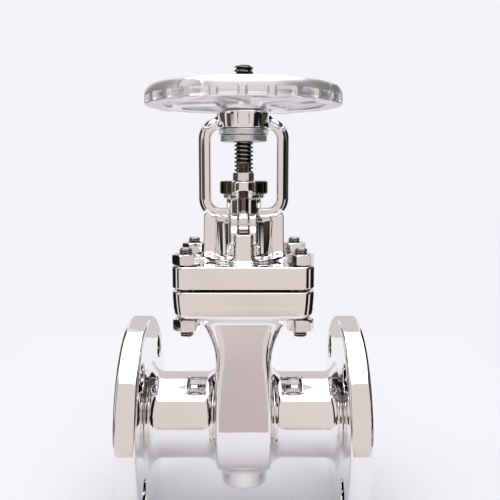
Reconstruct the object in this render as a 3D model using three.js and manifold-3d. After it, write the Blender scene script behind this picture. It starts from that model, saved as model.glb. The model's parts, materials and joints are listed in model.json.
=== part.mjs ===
// Flanged gate valve with an outside screw and yoke: a DN50 class 150 pattern with a bolted bonnet.
// Millimetres. The origin is the centre of the flow bore, +X is along the flow and +Z is along the stem.
// The gate is shown closed.

import * as THREE from 'three';
import { mergeVertices } from 'three/addons/utils/BufferGeometryUtils.js';
import Module from 'manifold-3d';

const wasm = await Module();
wasm.setup();

// ---------------------------------------------------------------- driving dimensions

const GAP = 0.3; // clearance between neighbouring pieces
const CHAMFER = 1; // on the ends of turned pieces

// Pipe ends
const BORE_R = 25.4;
const FACE_X = 89;
const RAISED_R = 46;
const RAISED_H = 1.6;
const FLANGE_R = 76.2;
const FLANGE_THICK = 16;
const FLANGE_ROUND = 2.5;
const PITCH_R = 60.35;
const PIPE_HOLE_R = 9.5;
const PIPE_HOLES = 4;
const BARREL_R = 32.8;
const HUB_FILLET = 10;
const CASING_FILLET = 9.5;

// Casing round the gate
const CASING_HALF_X = 20;
const CASING_R = 42;
const CASING_TOP_HALF_X = 35;
const CASING_TOP_CORNER = 15;
const FLARE_START_Z = 50.4;
const FLARE_R = 47;
const CHAMBER_HALF_X = 14;
const CHAMBER_R = 34;
const BOSS_R = 17.8;
const BOSS_Z = -54;
const BOSS_ROUND = 2;

// Bonnet joint
const PLATE_HALF_X = 50;
const PLATE_HALF_Y = 46;
const PLATE_CORNER = 10;
const PLATE_ROUND = 2;
const BODY_PLATE_Z = 84.9;
const JOINT_Z = 104.8;
const BONNET_Z = 106.6;
const BONNET_TOP_Z = 122.8;
const FOOT_Z = BONNET_TOP_Z - 2; // what stands on the bonnet flange starts inside it
const BONNET_ROOM_HALF_Y = 20;
const BONNET_ROOM_CORNER = 5;
const GASKET_HALF_X = 30;
const GASKET_HALF_Y = 40;
const GASKET_CORNER = 12;
const STUD_X = 40.3;
const STUD_Y = 35.8;
const STUD_R = 4.9;
const STUD_HOLE_R = 5.4;
const STUD_LOW_Z = 71.5;
const STUD_TOP_Z = 134.9;
const NUT_FLATS = 17;
const NUT_TOP_Z = 130.7;
const NUT_LOW_Z = 76.2;
const NUT_SEAT_R = 11.4;
const NUT_TURN = THREE.MathUtils.degToRad(10);

// Neck, stuffing box and gland
const NECK_HALF_X = 29.9;
const NECK_FLARE = 4;
const PILLAR_Y = 7;
const FOOT_Y = 13;
const NECK_R = 21.5;
const PAD_R = 30;
const PAD_TOP_Z = 125.3;
const NECK_TOP_Z = 152;
const BOX_R = 13.1;
const BOX_TOP_Z = 168;
const BOX_BORE_R = 10.3;
const BACKSEAT_Z = 109;
const PACKING_Z = 126.3;
const PACKING_H = 4.8;
const PACKING_COUNT = 5;
const COLLAR_R = 15.4;
const COLLAR_TOP_Z = 171;
const GLAND_R = 18;
const GLAND_TOP_Z = 181;
const GLAND_ROUND = 2;
const EAR_HALF_X = 8.4;
const EAR_ROUND = 8.2;
const EAR_Z = 174.5;
const ARCH_R = 15;
const EAR_END_Y = 32.5;

// Swing eyebolts
const BOLT_Y = 25;
const PIN_Z = 152;
const PIN_R = 2.6;
const PIN_HALF_X = 9.6;
const EYE_R = 6.6;
const EYE_HALF_X = 3.5;
const BOLT_R = 3.5;
const BOLT_HOLE_R = 4.1;
const BOLT_TOP_Z = 194;
const LUG_HALF_X = 9.3;
const LUG_INNER_X = 3.9;
const LUG_R = 6.3;
const RIB_HALF_X = 6.2;
const RIB_END_Y = 30;
const RIB_TOP_Z = 143.5;
const GLAND_NUT_FLATS = 13;
const GLAND_NUT_H = 6;

// Yoke
const ARM_OUTER_X = 33.5;
const ARM_INNER_X = 24.6;
const ARM_HALF_Y = 8;
const WINDOW_LOW_Z = 160.6;
const WINDOW_TOP_Z = 219;
const WINDOW_CORNER = 7.5;
const HUB_R = 19;
const HUB_NARROW_R = 17.7;
const HUB_TOP_Z = 231.5;
const HUB_BORE_R = 12.3;
const WASHER_R = 18.2;
const WASHER_LOW_Z = 214.7;
const NUT_FLANGE_R = 17.3;
const NUT_FLANGE_LOW_Z = 209.6;
const YOKE_NUT_R = 11.9;
const YOKE_NUT_THREAD_R = 10;
const YOKE_NUT_TOP_Z = 256;

// Stem and gate
const STEM_R = 7;
const STEM_TIP_Z = 264.8;
const STEM_TIP_CHAMFER = 1.5;
const STEM_BORE_R = 7.3;
const STEM_COLLAR_R = 10;
const STEM_COLLAR_Z = 49.5;
const STEM_COLLAR_H = 2;
const STEM_CONE_H = 3;
const STEM_HEAD_R = 9.6;
const STEM_HEAD_Z = 34;
const STEM_HEAD_H = 5;
const GATE_R = 28.5;
const GATE_HALF_X = 8;
const GATE_TAPER = THREE.MathUtils.degToRad(5);
const GATE_BOSS_HALF = 12.7;
const GATE_BOSS_Z = 44.5;
const SEAT_OUTER_R = 30;
const SEAT_END_X = 22;
const GUIDE_HALF_X = 2;
const GUIDE_Y = 26.5;

// Handwheel
const WHEEL_R = 72.5;
const RIM_LOW_Z = 235.4;
const RIM_TOP_Z = 249.5;
const RIM_INNER_R = 60;
const RIM_ROUND = 6;
const GRIPS = 24;
const GRIP_DEPTH = 2.2;
const GRIP_HEIGHT = 6.6;
const GRIP_SHARE = 0.72; // of the pitch of the recesses
const SPOKES = 4;
const SPOKE_ROOT_HALF = 9;
const SPOKE_TIP_HALF = 6;
const SPOKE_LIFT = 1.5;
const SPOKE_H = 7;
const SPOKE_PHASE = THREE.MathUtils.degToRad(-28);
const WHEEL_HUB_R = 17;
const WHEEL_HUB_LOW_Z = 232.5;
const WHEEL_HUB_TOP_Z = 246;
const KEY_HALF = 2;
const WHEEL_WASHER_R = 15.5;
const WHEEL_WASHER_H = 2;
const WHEEL_NUT_FLATS = 27;
const WHEEL_NUT_H = 6;

// ---------------------------------------------------------------- solids from three.js geometry

/** A manifold solid from a closed three.js geometry, whichever way its profile runs. */
function toSolid(geometry) {
  const plain = geometry.clone();
  plain.deleteAttribute('normal');
  plain.deleteAttribute('uv');
  const merged = mergeVertices(plain, 1e-4);
  const points = merged.attributes.position.array;
  const index = merged.index.array;
  const triangles = [];
  let volume = 0;
  const corner = [0, 1, 2].map(() => new THREE.Vector3());
  for (let i = 0; i < index.length; i += 3) {
    const [a, b, c] = [index[i], index[i + 1], index[i + 2]];
    if (a === b || b === c || c === a) {
      continue;
    }
    triangles.push([a, b, c]);
    corner.forEach((p, k) => p.fromArray(points, 3 * index[i + k]));
    volume += corner[0].dot(corner[1].clone().cross(corner[2]));
  }
  if (volume < 0) {
    triangles.forEach((t) => t.reverse());
  }
  return new wasm.Manifold(new wasm.Mesh({
    numProp: 3,
    vertProperties: new Float32Array(points),
    triVerts: new Uint32Array(triangles.flat()),
  }));
}

/** Joins solids into one. */
function join(first, ...rest) {
  return rest.reduce((sum, solid) => sum.add(solid), first);
}

/** Takes solids away from the first one. */
function cut(first, ...rest) {
  return rest.reduce((left, solid) => left.subtract(solid), first);
}

/** The part that every solid shares. */
function common(first, ...rest) {
  return rest.reduce((shared, solid) => shared.intersect(solid), first);
}

/** A named mesh of one solid. */
function piece(name, solid, material) {
  const mesh = solid.getMesh();
  const geometry = new THREE.BufferGeometry();
  geometry.setAttribute('position', new THREE.BufferAttribute(new Float32Array(mesh.vertProperties), 3));
  geometry.setIndex(new THREE.BufferAttribute(new Uint32Array(mesh.triVerts), 1));
  geometry.computeVertexNormals();
  const result = new THREE.Mesh(geometry, material.clone());
  result.name = name;
  return result;
}

/** Points of an arc in a plane, by centre, radius and start and end angle in degrees. */
function arc(u, v, radius, from, to, steps = 3) {
  const points = [];
  for (let i = 0; i <= steps; i += 1) {
    const angle = THREE.MathUtils.degToRad(from + ((to - from) * i) / steps);
    points.push([u + radius * Math.cos(angle), v + radius * Math.sin(angle)]);
  }
  return points;
}

/** A solid of revolution about Z from [radius, z] points. */
function turnedZ(points, segments = 28) {
  const profile = points.map(([r, z]) => new THREE.Vector2(r, z));
  return toSolid(new THREE.LatheGeometry(profile, segments).rotateX(Math.PI / 2));
}

/** A solid of revolution about X from [radius, x] points. */
function turnedX(points, segments = 40) {
  const profile = points.map(([r, x]) => new THREE.Vector2(r, x));
  return toSolid(new THREE.LatheGeometry(profile, segments).rotateZ(-Math.PI / 2));
}

/** A plain round bar along Z. */
function barZ(radius, low, high, x = 0, y = 0, segments = 20) {
  const bar = new THREE.CylinderGeometry(radius, radius, high - low, segments).rotateX(Math.PI / 2);
  return toSolid(bar.translate(x, y, (low + high) / 2));
}

/** A plain round bar along X. */
function barX(radius, low, high, y = 0, z = 0, segments = 24) {
  const bar = new THREE.CylinderGeometry(radius, radius, high - low, segments).rotateZ(Math.PI / 2);
  return toSolid(bar.translate((low + high) / 2, y, z));
}

/** A closed ring about Z between two radii and two heights. */
function ringZ(inner, outer, low, high, segments = 24) {
  return turnedZ([[inner, low], [outer, low], [outer, high], [inner, high], [inner, low]], segments);
}

/** A block between two opposite corners. */
function block(x0, x1, y0, y1, z0, z1) {
  const box = new THREE.BoxGeometry(x1 - x0, y1 - y0, z1 - z0);
  return toSolid(box.translate((x0 + x1) / 2, (y0 + y1) / 2, (z0 + z1) / 2));
}

/** A shape from a list of points. */
function outline(points) {
  return new THREE.Shape(points.map(([u, v]) => new THREE.Vector2(u, v)));
}

/** A rectangle with rounded corners about the origin. */
function roundedRectangle(halfU, halfV, radius, steps = 3) {
  const u = halfU - radius;
  const v = halfV - radius;
  return outline([
    ...arc(u, v, radius, 0, 90, steps),
    ...arc(-u, v, radius, 90, 180, steps),
    ...arc(-u, -v, radius, 180, 270, steps),
    ...arc(u, -v, radius, 270, 360, steps),
  ]);
}

/** A plan shape in X and Y, pushed from one height to another; round softens both its edges. */
function pushedZ(shape, low, high, round = 0) {
  const geometry = new THREE.ExtrudeGeometry(shape, {
    depth: high - low - 2 * round,
    bevelEnabled: round > 0,
    bevelThickness: round,
    bevelSize: round,
    bevelOffset: -round,
    bevelSegments: 1,
    steps: 1,
  });
  return toSolid(geometry.translate(0, 0, low + round));
}

/** A front outline in X and Z, pushed along Y equally both ways; round softens both its edges. */
function pushedY(shape, halfY, round = 0) {
  return pushedZ(shape, -halfY, halfY, round).rotate([90, 0, 0]);
}

/** A side outline in Y and Z, pushed along X equally both ways. */
function pushedX(shape, halfX) {
  return pushedZ(shape, -halfX, halfX).rotate([90, 0, 0]).rotate([0, 0, 90]);
}

/** A hexagonal nut about Z, turned by an angle. */
function hexNut({ flats, hole, low, high, x = 0, y = 0, turn = 0 }) {
  const hexagon = outline(arc(0, 0, flats / Math.sqrt(3), 0, 300, 5));
  const prism = pushedZ(hexagon, low, high).rotate([0, 0, THREE.MathUtils.radToDeg(turn)]);
  return cut(prism, barZ(hole, low - 1, high + 1, 0, 0, 16)).translate([x, y, 0]);
}

/** The solid and its mirror image across the plane through the origin with the given normal. */
function bothSides(solid, normal) {
  return solid.add(solid.mirror(normal));
}

// ---------------------------------------------------------------- materials

const polished = new THREE.MeshStandardMaterial({ color: 0xded6d2, roughness: 0.06, metalness: 1 });
const satin = new THREE.MeshStandardMaterial({ color: 0xb9b7b8, roughness: 0.35, metalness: 1 });
const threaded = new THREE.MeshStandardMaterial({ color: 0x8f8a88, roughness: 0.25, metalness: 1 });
const alloy = new THREE.MeshStandardMaterial({ color: 0xd9d6df, roughness: 0.3, metalness: 0.9 });
const graphite = new THREE.MeshStandardMaterial({ color: 0x2a2a2c, roughness: 0.7, metalness: 0.1 });
const hardFacing = new THREE.MeshStandardMaterial({ color: 0xc4bfb8, roughness: 0.2, metalness: 1 });

// ---------------------------------------------------------------- valve body

/** One end of the body: barrel, fillets, pipe flange and raised face, on the +X side. */
function pipeEnd() {
  const flangeX = FACE_X - RAISED_H;
  const flangeBackX = flangeX - FLANGE_THICK;
  const rim = FLANGE_R - FLANGE_ROUND;
  const flip = ([x, r]) => [r, x];
  const solid = turnedX([
    [0, 0],
    [CASING_R - 1, 0],
    ...arc(CASING_HALF_X + CASING_FILLET, BARREL_R + CASING_FILLET, CASING_FILLET, 180, 270).map(flip),
    ...arc(flangeBackX - HUB_FILLET, BARREL_R + HUB_FILLET, HUB_FILLET, 270, 360).map(flip),
    ...arc(flangeBackX + FLANGE_ROUND, rim, FLANGE_ROUND, 180, 90, 2).map(flip),
    ...arc(flangeX - FLANGE_ROUND, rim, FLANGE_ROUND, 90, 0, 2).map(flip),
    [RAISED_R, flangeX],
    [RAISED_R, FACE_X],
    [0, FACE_X],
  ]);
  const holes = [];
  for (let i = 0; i < PIPE_HOLES; i += 1) {
    const angle = ((i + 0.5) * 2 * Math.PI) / PIPE_HOLES;
    const y = PITCH_R * Math.cos(angle);
    const z = PITCH_R * Math.sin(angle);
    holes.push(barX(PIPE_HOLE_R, flangeBackX - 1, flangeX + 1, y, z, 16));
  }
  return cut(solid, ...holes);
}

/** The casing round the gate: upright sides that flare out under the bonnet flange, a round bottom. */
function casing() {
  const top = BODY_PLATE_Z + 1;
  const centreZ = FLARE_START_Z;
  const sweep = THREE.MathUtils.radToDeg(Math.asin((top - centreZ) / FLARE_R));
  const side = arc(CASING_HALF_X + FLARE_R, centreZ, FLARE_R, 180, 180 - sweep, 4);
  const mirrored = side.map(([x, z]) => [-x, z]).reverse();
  const front = outline([[CASING_HALF_X, -CASING_R], ...side, ...mirrored, [-CASING_HALF_X, -CASING_R]]);
  const profile = outline([[CASING_R, top], [-CASING_R, top], ...arc(0, 0, CASING_R, 180, 360, 16)]);
  const plan = roundedRectangle(CASING_TOP_HALF_X, CASING_R, CASING_TOP_CORNER);
  return common(
    pushedY(front, CASING_R + 1),
    pushedX(profile, PLATE_HALF_X),
    pushedZ(plan, -CASING_R, top),
  );
}

/** The room inside the body that the gate rises through, with its two guide ribs left standing. */
function chamber() {
  const top = JOINT_Z + 1;
  const profile = outline([[CHAMBER_R, top], [-CHAMBER_R, top], ...arc(0, 0, CHAMBER_R, 180, 360, 14)]);
  const room = pushedX(profile, CHAMBER_HALF_X);
  const rib = block(-GUIDE_HALF_X, GUIDE_HALF_X, GUIDE_Y, CHAMBER_R + 1, -GATE_R, BODY_PLATE_Z);
  return cut(room, bothSides(rib, [0, 1, 0]));
}

/** The four places of the bonnet studs. */
function studPlaces() {
  return [[-1, -1], [1, -1], [1, 1], [-1, 1]].map(([i, j]) => [i * STUD_X, j * STUD_Y]);
}

function bodyCasting() {
  const end = pipeEnd();
  const plate = pushedZ(
    roundedRectangle(PLATE_HALF_X, PLATE_HALF_Y, PLATE_CORNER),
    BODY_PLATE_Z,
    JOINT_Z,
    PLATE_ROUND,
  );
  const boss = turnedZ([
    [0, 0],
    [BOSS_R, 0],
    [BOSS_R, BOSS_Z + BOSS_ROUND],
    [BOSS_R - BOSS_ROUND, BOSS_Z],
    [0, BOSS_Z],
  ]);
  const seatPocket = barX(SEAT_OUTER_R + GAP, -SEAT_END_X, SEAT_END_X, 0, 0, 36);
  const studHoles = studPlaces().map(([x, y]) => barZ(STUD_HOLE_R, BODY_PLATE_Z - 1, JOINT_Z + 1, x, y, 16));
  const nutSeats = studPlaces().map(([x, y]) => barZ(NUT_SEAT_R, STUD_LOW_Z - 1, BODY_PLATE_Z, x, y, 20));
  return cut(
    join(bothSides(end, [1, 0, 0]), casing(), plate, boss),
    barX(BORE_R, -FACE_X - 1, FACE_X + 1, 0, 0, 36),
    seatPocket,
    chamber(),
    ...studHoles,
    ...nutSeats,
  );
}

// ---------------------------------------------------------------- gate, seats and stem

/** A wedge in front view whose faces lean out by the taper towards the top, widened by extra. */
function taperedFront(extra) {
  const halfAt = (z) => GATE_HALF_X + extra + z * Math.tan(GATE_TAPER);
  const low = -SEAT_OUTER_R - 1;
  const high = SEAT_OUTER_R + 1;
  return outline([[halfAt(low), low], [halfAt(high), high], [-halfAt(high), high], [-halfAt(low), low]]);
}

function gateWedge() {
  const half = GATE_BOSS_HALF;
  const round = barX(GATE_R, -CHAMBER_HALF_X, CHAMBER_HALF_X, 0, 0, 36);
  const disc = common(round, pushedY(taperedFront(0), GATE_R));
  const neck = block(-GATE_HALF_X, GATE_HALF_X, -half, half, 0, SEAT_OUTER_R + 1);
  const boss = block(-half, half, -half, half, SEAT_OUTER_R + GAP, GATE_BOSS_Z);
  const headHalf = STEM_HEAD_R + GAP;
  const headTop = STEM_HEAD_Z + STEM_HEAD_H + GAP;
  const headRoom = block(-headHalf, headHalf, -half - 1, half + 1, STEM_HEAD_Z - GAP, headTop);
  const neckHalf = STEM_R + GAP;
  const neckRoom = block(-neckHalf, neckHalf, -half - 1, half + 1, STEM_HEAD_Z, GATE_BOSS_Z + 1);
  const guideHalf = GUIDE_HALF_X + GAP;
  const guide = block(-guideHalf, guideHalf, GUIDE_Y - GAP, GATE_R + 1, -GATE_R - 1, GATE_R + 1);
  return cut(join(disc, neck, boss), headRoom, neckRoom, bothSides(guide, [0, 1, 0]));
}

/** One seat ring on the +X side, its inner face leaning with the gate. */
function seatRing() {
  const ring = turnedX([
    [BORE_R, 0],
    [SEAT_OUTER_R, 0],
    [SEAT_OUTER_R, SEAT_END_X - GAP],
    [BORE_R, SEAT_END_X - GAP],
    [BORE_R, 0],
  ], 36);
  return cut(ring, pushedY(taperedFront(GAP), SEAT_OUTER_R + 1));
}

function stem() {
  const headTop = STEM_HEAD_Z + STEM_HEAD_H;
  return turnedZ([
    [0, STEM_HEAD_Z],
    [STEM_HEAD_R, STEM_HEAD_Z],
    [STEM_HEAD_R, headTop],
    [STEM_R, headTop],
    [STEM_R, STEM_COLLAR_Z],
    [STEM_COLLAR_R, STEM_COLLAR_Z],
    [STEM_COLLAR_R, STEM_COLLAR_Z + STEM_COLLAR_H],
    [STEM_R, STEM_COLLAR_Z + STEM_COLLAR_H + STEM_CONE_H],
    [STEM_R, STEM_TIP_Z - STEM_TIP_CHAMFER],
    [STEM_R - STEM_TIP_CHAMFER, STEM_TIP_Z],
    [0, STEM_TIP_Z],
  ], 24);
}

// ---------------------------------------------------------------- bonnet, stuffing box and yoke

/** Half of the neck and yoke in front view, from the bonnet flange up to the hub, on the +X side. */
function yokeFrontHalf() {
  return [
    [0, FOOT_Z],
    [NECK_HALF_X + NECK_FLARE, FOOT_Z],
    ...arc(NECK_HALF_X + NECK_FLARE, BONNET_TOP_Z + NECK_FLARE, NECK_FLARE, 270, 180, 3),
    [NECK_HALF_X, NECK_TOP_Z - 6],
    [NECK_HALF_X + 1.6, NECK_TOP_Z],
    [ARM_OUTER_X - 1.4, NECK_TOP_Z + 8],
    [ARM_OUTER_X, NECK_TOP_Z + 16],
    [ARM_OUTER_X, WINDOW_TOP_Z - 8],
    [ARM_OUTER_X - 1.2, WINDOW_TOP_Z - 3],
    [ARM_OUTER_X - 5, WINDOW_TOP_Z + 3],
    [HUB_R + 4, WINDOW_TOP_Z + 8],
    [HUB_R - 2, WINDOW_TOP_Z + 9.5],
    [0, WINDOW_TOP_Z + 9.5],
  ];
}

/** The plate that the pillars and the yoke loop are cut from, its feet flared towards the flange. */
function yokePlate() {
  const half = yokeFrontHalf();
  const other = half.slice(1, -1).map(([x, z]) => [-x, z]).reverse();
  const front = pushedY(outline([...half, ...other]), FOOT_Y + 1);
  const flare = FOOT_Y - PILLAR_Y;
  const side = [
    [FOOT_Y, FOOT_Z],
    ...arc(FOOT_Y, BONNET_TOP_Z + flare, flare, 270, 180, 3),
    [PILLAR_Y, NECK_TOP_Z - 1],
    [ARM_HALF_Y, NECK_TOP_Z],
    [ARM_HALF_Y, HUB_TOP_Z],
  ];
  const sideOther = side.map(([y, z]) => [-y, z]).reverse();
  return common(front, pushedX(outline([...side, ...sideOther]), PLATE_HALF_X));
}

/** The window between the yoke arms. */
function yokeWindow() {
  const midZ = (WINDOW_LOW_Z + WINDOW_TOP_Z) / 2;
  const halfZ = (WINDOW_TOP_Z - WINDOW_LOW_Z) / 2;
  const shape = roundedRectangle(ARM_INNER_X, halfZ, WINDOW_CORNER, 4);
  return pushedY(shape, PLATE_HALF_Y).translate([0, 0, midZ]);
}

/** The front rib with the two cheeks that hold one eyebolt, on the -Y side. */
function eyeboltLug() {
  const shoulderZ = RIB_TOP_Z - 5;
  const rib = block(-RIB_HALF_X, RIB_HALF_X, -RIB_END_Y, 0, FOOT_Z, RIB_TOP_Z);
  const cheek = outline([
    [-BOX_R + 2, shoulderZ - 6],
    [-BOX_R + 2, PIN_Z + 4],
    ...arc(-BOLT_Y, PIN_Z, LUG_R, 90, 180, 5),
    [-BOLT_Y - LUG_R, RIB_TOP_Z],
    [-BOLT_Y - 3, shoulderZ - 2],
  ]);
  return join(rib, pushedX(cheek, LUG_HALF_X));
}

/** The room for one eyebolt between the cheeks, and the hole for its pin, on the -Y side. */
function eyeboltRoom() {
  const slot = block(
    -LUG_INNER_X,
    LUG_INNER_X,
    -BOLT_Y - LUG_R - 1,
    -BOLT_Y + EYE_R + GAP,
    PIN_Z - EYE_R - 2 * GAP,
    PIN_Z + LUG_R + 1,
  );
  return join(slot, barX(PIN_R + GAP, -LUG_HALF_X - 1, LUG_HALF_X + 1, -BOLT_Y, PIN_Z, 16));
}

function bonnetYoke() {
  const plate = pushedZ(
    roundedRectangle(PLATE_HALF_X, PLATE_HALF_Y, PLATE_CORNER),
    BONNET_Z,
    BONNET_TOP_Z,
    PLATE_ROUND,
  );
  const frame = cut(yokePlate(), yokeWindow());
  const boxWall = turnedZ([
    [0, FOOT_Z],
    [PAD_R, FOOT_Z],
    [PAD_R, PAD_TOP_Z - CHAMFER],
    [PAD_R - CHAMFER, PAD_TOP_Z],
    [NECK_R, PAD_TOP_Z],
    [NECK_R, NECK_TOP_Z - 1],
    [NECK_R - 1, NECK_TOP_Z],
    [BOX_R, NECK_TOP_Z],
    [BOX_R, BOX_TOP_Z],
    [0, BOX_TOP_Z],
  ], 40);
  const hub = turnedZ([
    [0, WINDOW_TOP_Z],
    [HUB_NARROW_R, WINDOW_TOP_Z],
    [HUB_NARROW_R, WINDOW_TOP_Z + 6],
    [HUB_R, WINDOW_TOP_Z + 8],
    [HUB_R, HUB_TOP_Z - CHAMFER],
    [HUB_R - CHAMFER, HUB_TOP_Z],
    [0, HUB_TOP_Z],
  ], 36);
  const room = roundedRectangle(CHAMBER_HALF_X, BONNET_ROOM_HALF_Y, BONNET_ROOM_CORNER);
  const underside = pushedZ(room, BONNET_Z - 1, BACKSEAT_Z);
  const studHoles = studPlaces().map(([x, y]) => barZ(STUD_HOLE_R, BONNET_Z - 1, BONNET_TOP_Z + 1, x, y, 16));
  return cut(
    join(plate, frame, boxWall, hub, bothSides(eyeboltLug(), [0, 1, 0])),
    underside,
    bothSides(eyeboltRoom(), [0, 1, 0]),
    barZ(BOX_BORE_R, BONNET_Z - 1, BOX_TOP_Z + 1, 0, 0, 28),
    barZ(HUB_BORE_R, WINDOW_TOP_Z - 1, HUB_TOP_Z + 1, 0, 0, 28),
    ...studHoles,
  );
}

// ---------------------------------------------------------------- gasket, packing and gland

function bonnetGasket() {
  const shape = roundedRectangle(GASKET_HALF_X, GASKET_HALF_Y, GASKET_CORNER);
  const hole = roundedRectangle(CHAMBER_HALF_X, CHAMBER_R, GASKET_CORNER / 2);
  return cut(pushedZ(shape, JOINT_Z + GAP, BONNET_Z - GAP), pushedZ(hole, JOINT_Z, BONNET_Z));
}

function backseatBushing() {
  return ringZ(STEM_BORE_R, BOX_BORE_R - GAP, BACKSEAT_Z, PACKING_Z - GAP, 28);
}

/** Packing ring number n, counted from the bottom. */
function packingRing(n) {
  const low = PACKING_Z + n * (PACKING_H + GAP);
  return ringZ(STEM_BORE_R, BOX_BORE_R - GAP, low, low + PACKING_H, 28);
}

function glandFollower() {
  const low = PACKING_Z + PACKING_COUNT * (PACKING_H + GAP);
  const collarZ = BOX_TOP_Z + GAP;
  const skirt = BOX_BORE_R - GAP;
  return turnedZ([
    [STEM_BORE_R, low],
    [skirt, low],
    [skirt, collarZ],
    [COLLAR_R, collarZ],
    [COLLAR_R, COLLAR_TOP_Z],
    [STEM_BORE_R, COLLAR_TOP_Z],
    [STEM_BORE_R, low],
  ], 28);
}

function glandFlange() {
  const low = COLLAR_TOP_Z + GAP;
  const ears = pushedZ(roundedRectangle(EAR_HALF_X, EAR_END_Y, EAR_ROUND, 6), low, GLAND_TOP_Z);
  const arch = cut(
    pushedY(outline(arc(0, EAR_Z - ARCH_R, ARCH_R, 0, 180, 16)), EAR_END_Y + 1),
    barZ(COLLAR_R + 2 * GAP, low - ARCH_R, GLAND_TOP_Z, 0, 0, 32),
  );
  const disc = turnedZ([
    [0, low],
    [GLAND_R - GLAND_ROUND, low],
    [GLAND_R, low + GLAND_ROUND],
    [GLAND_R, GLAND_TOP_Z - CHAMFER],
    [GLAND_R - CHAMFER, GLAND_TOP_Z],
    [0, GLAND_TOP_Z],
  ]);
  const boltHole = barZ(BOLT_HOLE_R, EAR_Z - 1, GLAND_TOP_Z + 1, 0, BOLT_Y, 20);
  const stemHole = barZ(STEM_BORE_R, low - 1, GLAND_TOP_Z + 1, 0, 0, 28);
  return cut(join(ears, disc), arch, stemHole, bothSides(boltHole, [0, 1, 0]));
}

/** The eyebolt on the -Y side. */
function eyebolt() {
  const eye = barX(EYE_R, -EYE_HALF_X, EYE_HALF_X, -BOLT_Y, PIN_Z, 24);
  const shank = turnedZ([
    [0, PIN_Z + EYE_R / 2],
    [BOLT_R, PIN_Z + EYE_R / 2],
    [BOLT_R, BOLT_TOP_Z - CHAMFER],
    [BOLT_R - CHAMFER, BOLT_TOP_Z],
    [0, BOLT_TOP_Z],
  ], 20).translate([0, -BOLT_Y, 0]);
  return cut(join(eye, shank), barX(PIN_R + GAP, -PLATE_HALF_X, PLATE_HALF_X, -BOLT_Y, PIN_Z, 16));
}

function eyeboltPin() {
  return barX(PIN_R, -PIN_HALF_X, PIN_HALF_X, -BOLT_Y, PIN_Z, 16);
}

function glandNut() {
  const low = GLAND_TOP_Z + GAP;
  return hexNut({
    flats: GLAND_NUT_FLATS,
    hole: BOLT_R + GAP,
    low,
    high: low + GLAND_NUT_H,
    y: -BOLT_Y,
  });
}

// ---------------------------------------------------------------- bonnet bolting

function bonnetStud(x, y) {
  return turnedZ([
    [0, STUD_LOW_Z],
    [STUD_R - CHAMFER, STUD_LOW_Z],
    [STUD_R, STUD_LOW_Z + CHAMFER],
    [STUD_R, STUD_TOP_Z - CHAMFER],
    [STUD_R - CHAMFER, STUD_TOP_Z],
    [0, STUD_TOP_Z],
  ], 16).translate([x, y, 0]);
}

function bonnetNut(x, y, low, high) {
  return hexNut({ flats: NUT_FLATS, hole: STUD_R + GAP, low, high, x, y, turn: NUT_TURN });
}

// ---------------------------------------------------------------- yoke nut and handwheel

function thrustWasher() {
  return ringZ(YOKE_NUT_R + GAP, WASHER_R, WASHER_LOW_Z, WINDOW_TOP_Z - GAP, 32);
}

/** The groove that the handwheel key lies in, in the yoke nut and in the wheel. */
function keySeat(extra) {
  const half = KEY_HALF + extra;
  return block(
    -half,
    half,
    YOKE_NUT_R - KEY_HALF - extra,
    YOKE_NUT_R + KEY_HALF + extra,
    WHEEL_HUB_LOW_Z - extra,
    WHEEL_HUB_TOP_Z + extra,
  );
}

function yokeNut() {
  const flangeTop = WASHER_LOW_Z - GAP;
  const counterboreR = STEM_R + 1.5;
  const counterboreTop = NUT_FLANGE_LOW_Z + 2;
  const solid = turnedZ([
    [counterboreR, NUT_FLANGE_LOW_Z],
    [NUT_FLANGE_R, NUT_FLANGE_LOW_Z],
    [NUT_FLANGE_R, flangeTop],
    [YOKE_NUT_R, flangeTop],
    [YOKE_NUT_R, WHEEL_HUB_TOP_Z + GAP],
    [YOKE_NUT_THREAD_R, WHEEL_HUB_TOP_Z + GAP],
    [YOKE_NUT_THREAD_R, YOKE_NUT_TOP_Z],
    [STEM_BORE_R, YOKE_NUT_TOP_Z],
    [STEM_BORE_R, counterboreTop],
    [counterboreR, NUT_FLANGE_LOW_Z],
  ]);
  return cut(solid, keySeat(GAP));
}

/** One straight spoke, wider at the hub. */
function spoke(angle) {
  const shape = outline([
    [WHEEL_HUB_R - 3, -SPOKE_ROOT_HALF],
    [RIM_INNER_R + 3, -SPOKE_TIP_HALF],
    [RIM_INNER_R + 3, SPOKE_TIP_HALF],
    [WHEEL_HUB_R - 3, SPOKE_ROOT_HALF],
  ]);
  const low = RIM_LOW_Z + SPOKE_LIFT;
  const degrees = THREE.MathUtils.radToDeg(angle);
  return pushedZ(shape, low, low + SPOKE_H).rotate([0, 0, degrees]);
}

/** The finger recesses in the lower half of the rim's outer face. */
function rimGrips() {
  const cuts = [];
  const halfWidth = (GRIP_SHARE * Math.PI * WHEEL_R) / GRIPS;
  const inner = WHEEL_R - GRIP_DEPTH;
  const top = RIM_LOW_Z + GRIP_HEIGHT;
  for (let i = 0; i < GRIPS; i += 1) {
    const turn = ((i + 0.5) * 360) / GRIPS;
    const pocket = block(inner, WHEEL_R + 3, -halfWidth, halfWidth, RIM_LOW_Z - 1, top);
    cuts.push(pocket.rotate([0, 0, turn]));
  }
  return cuts;
}

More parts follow.
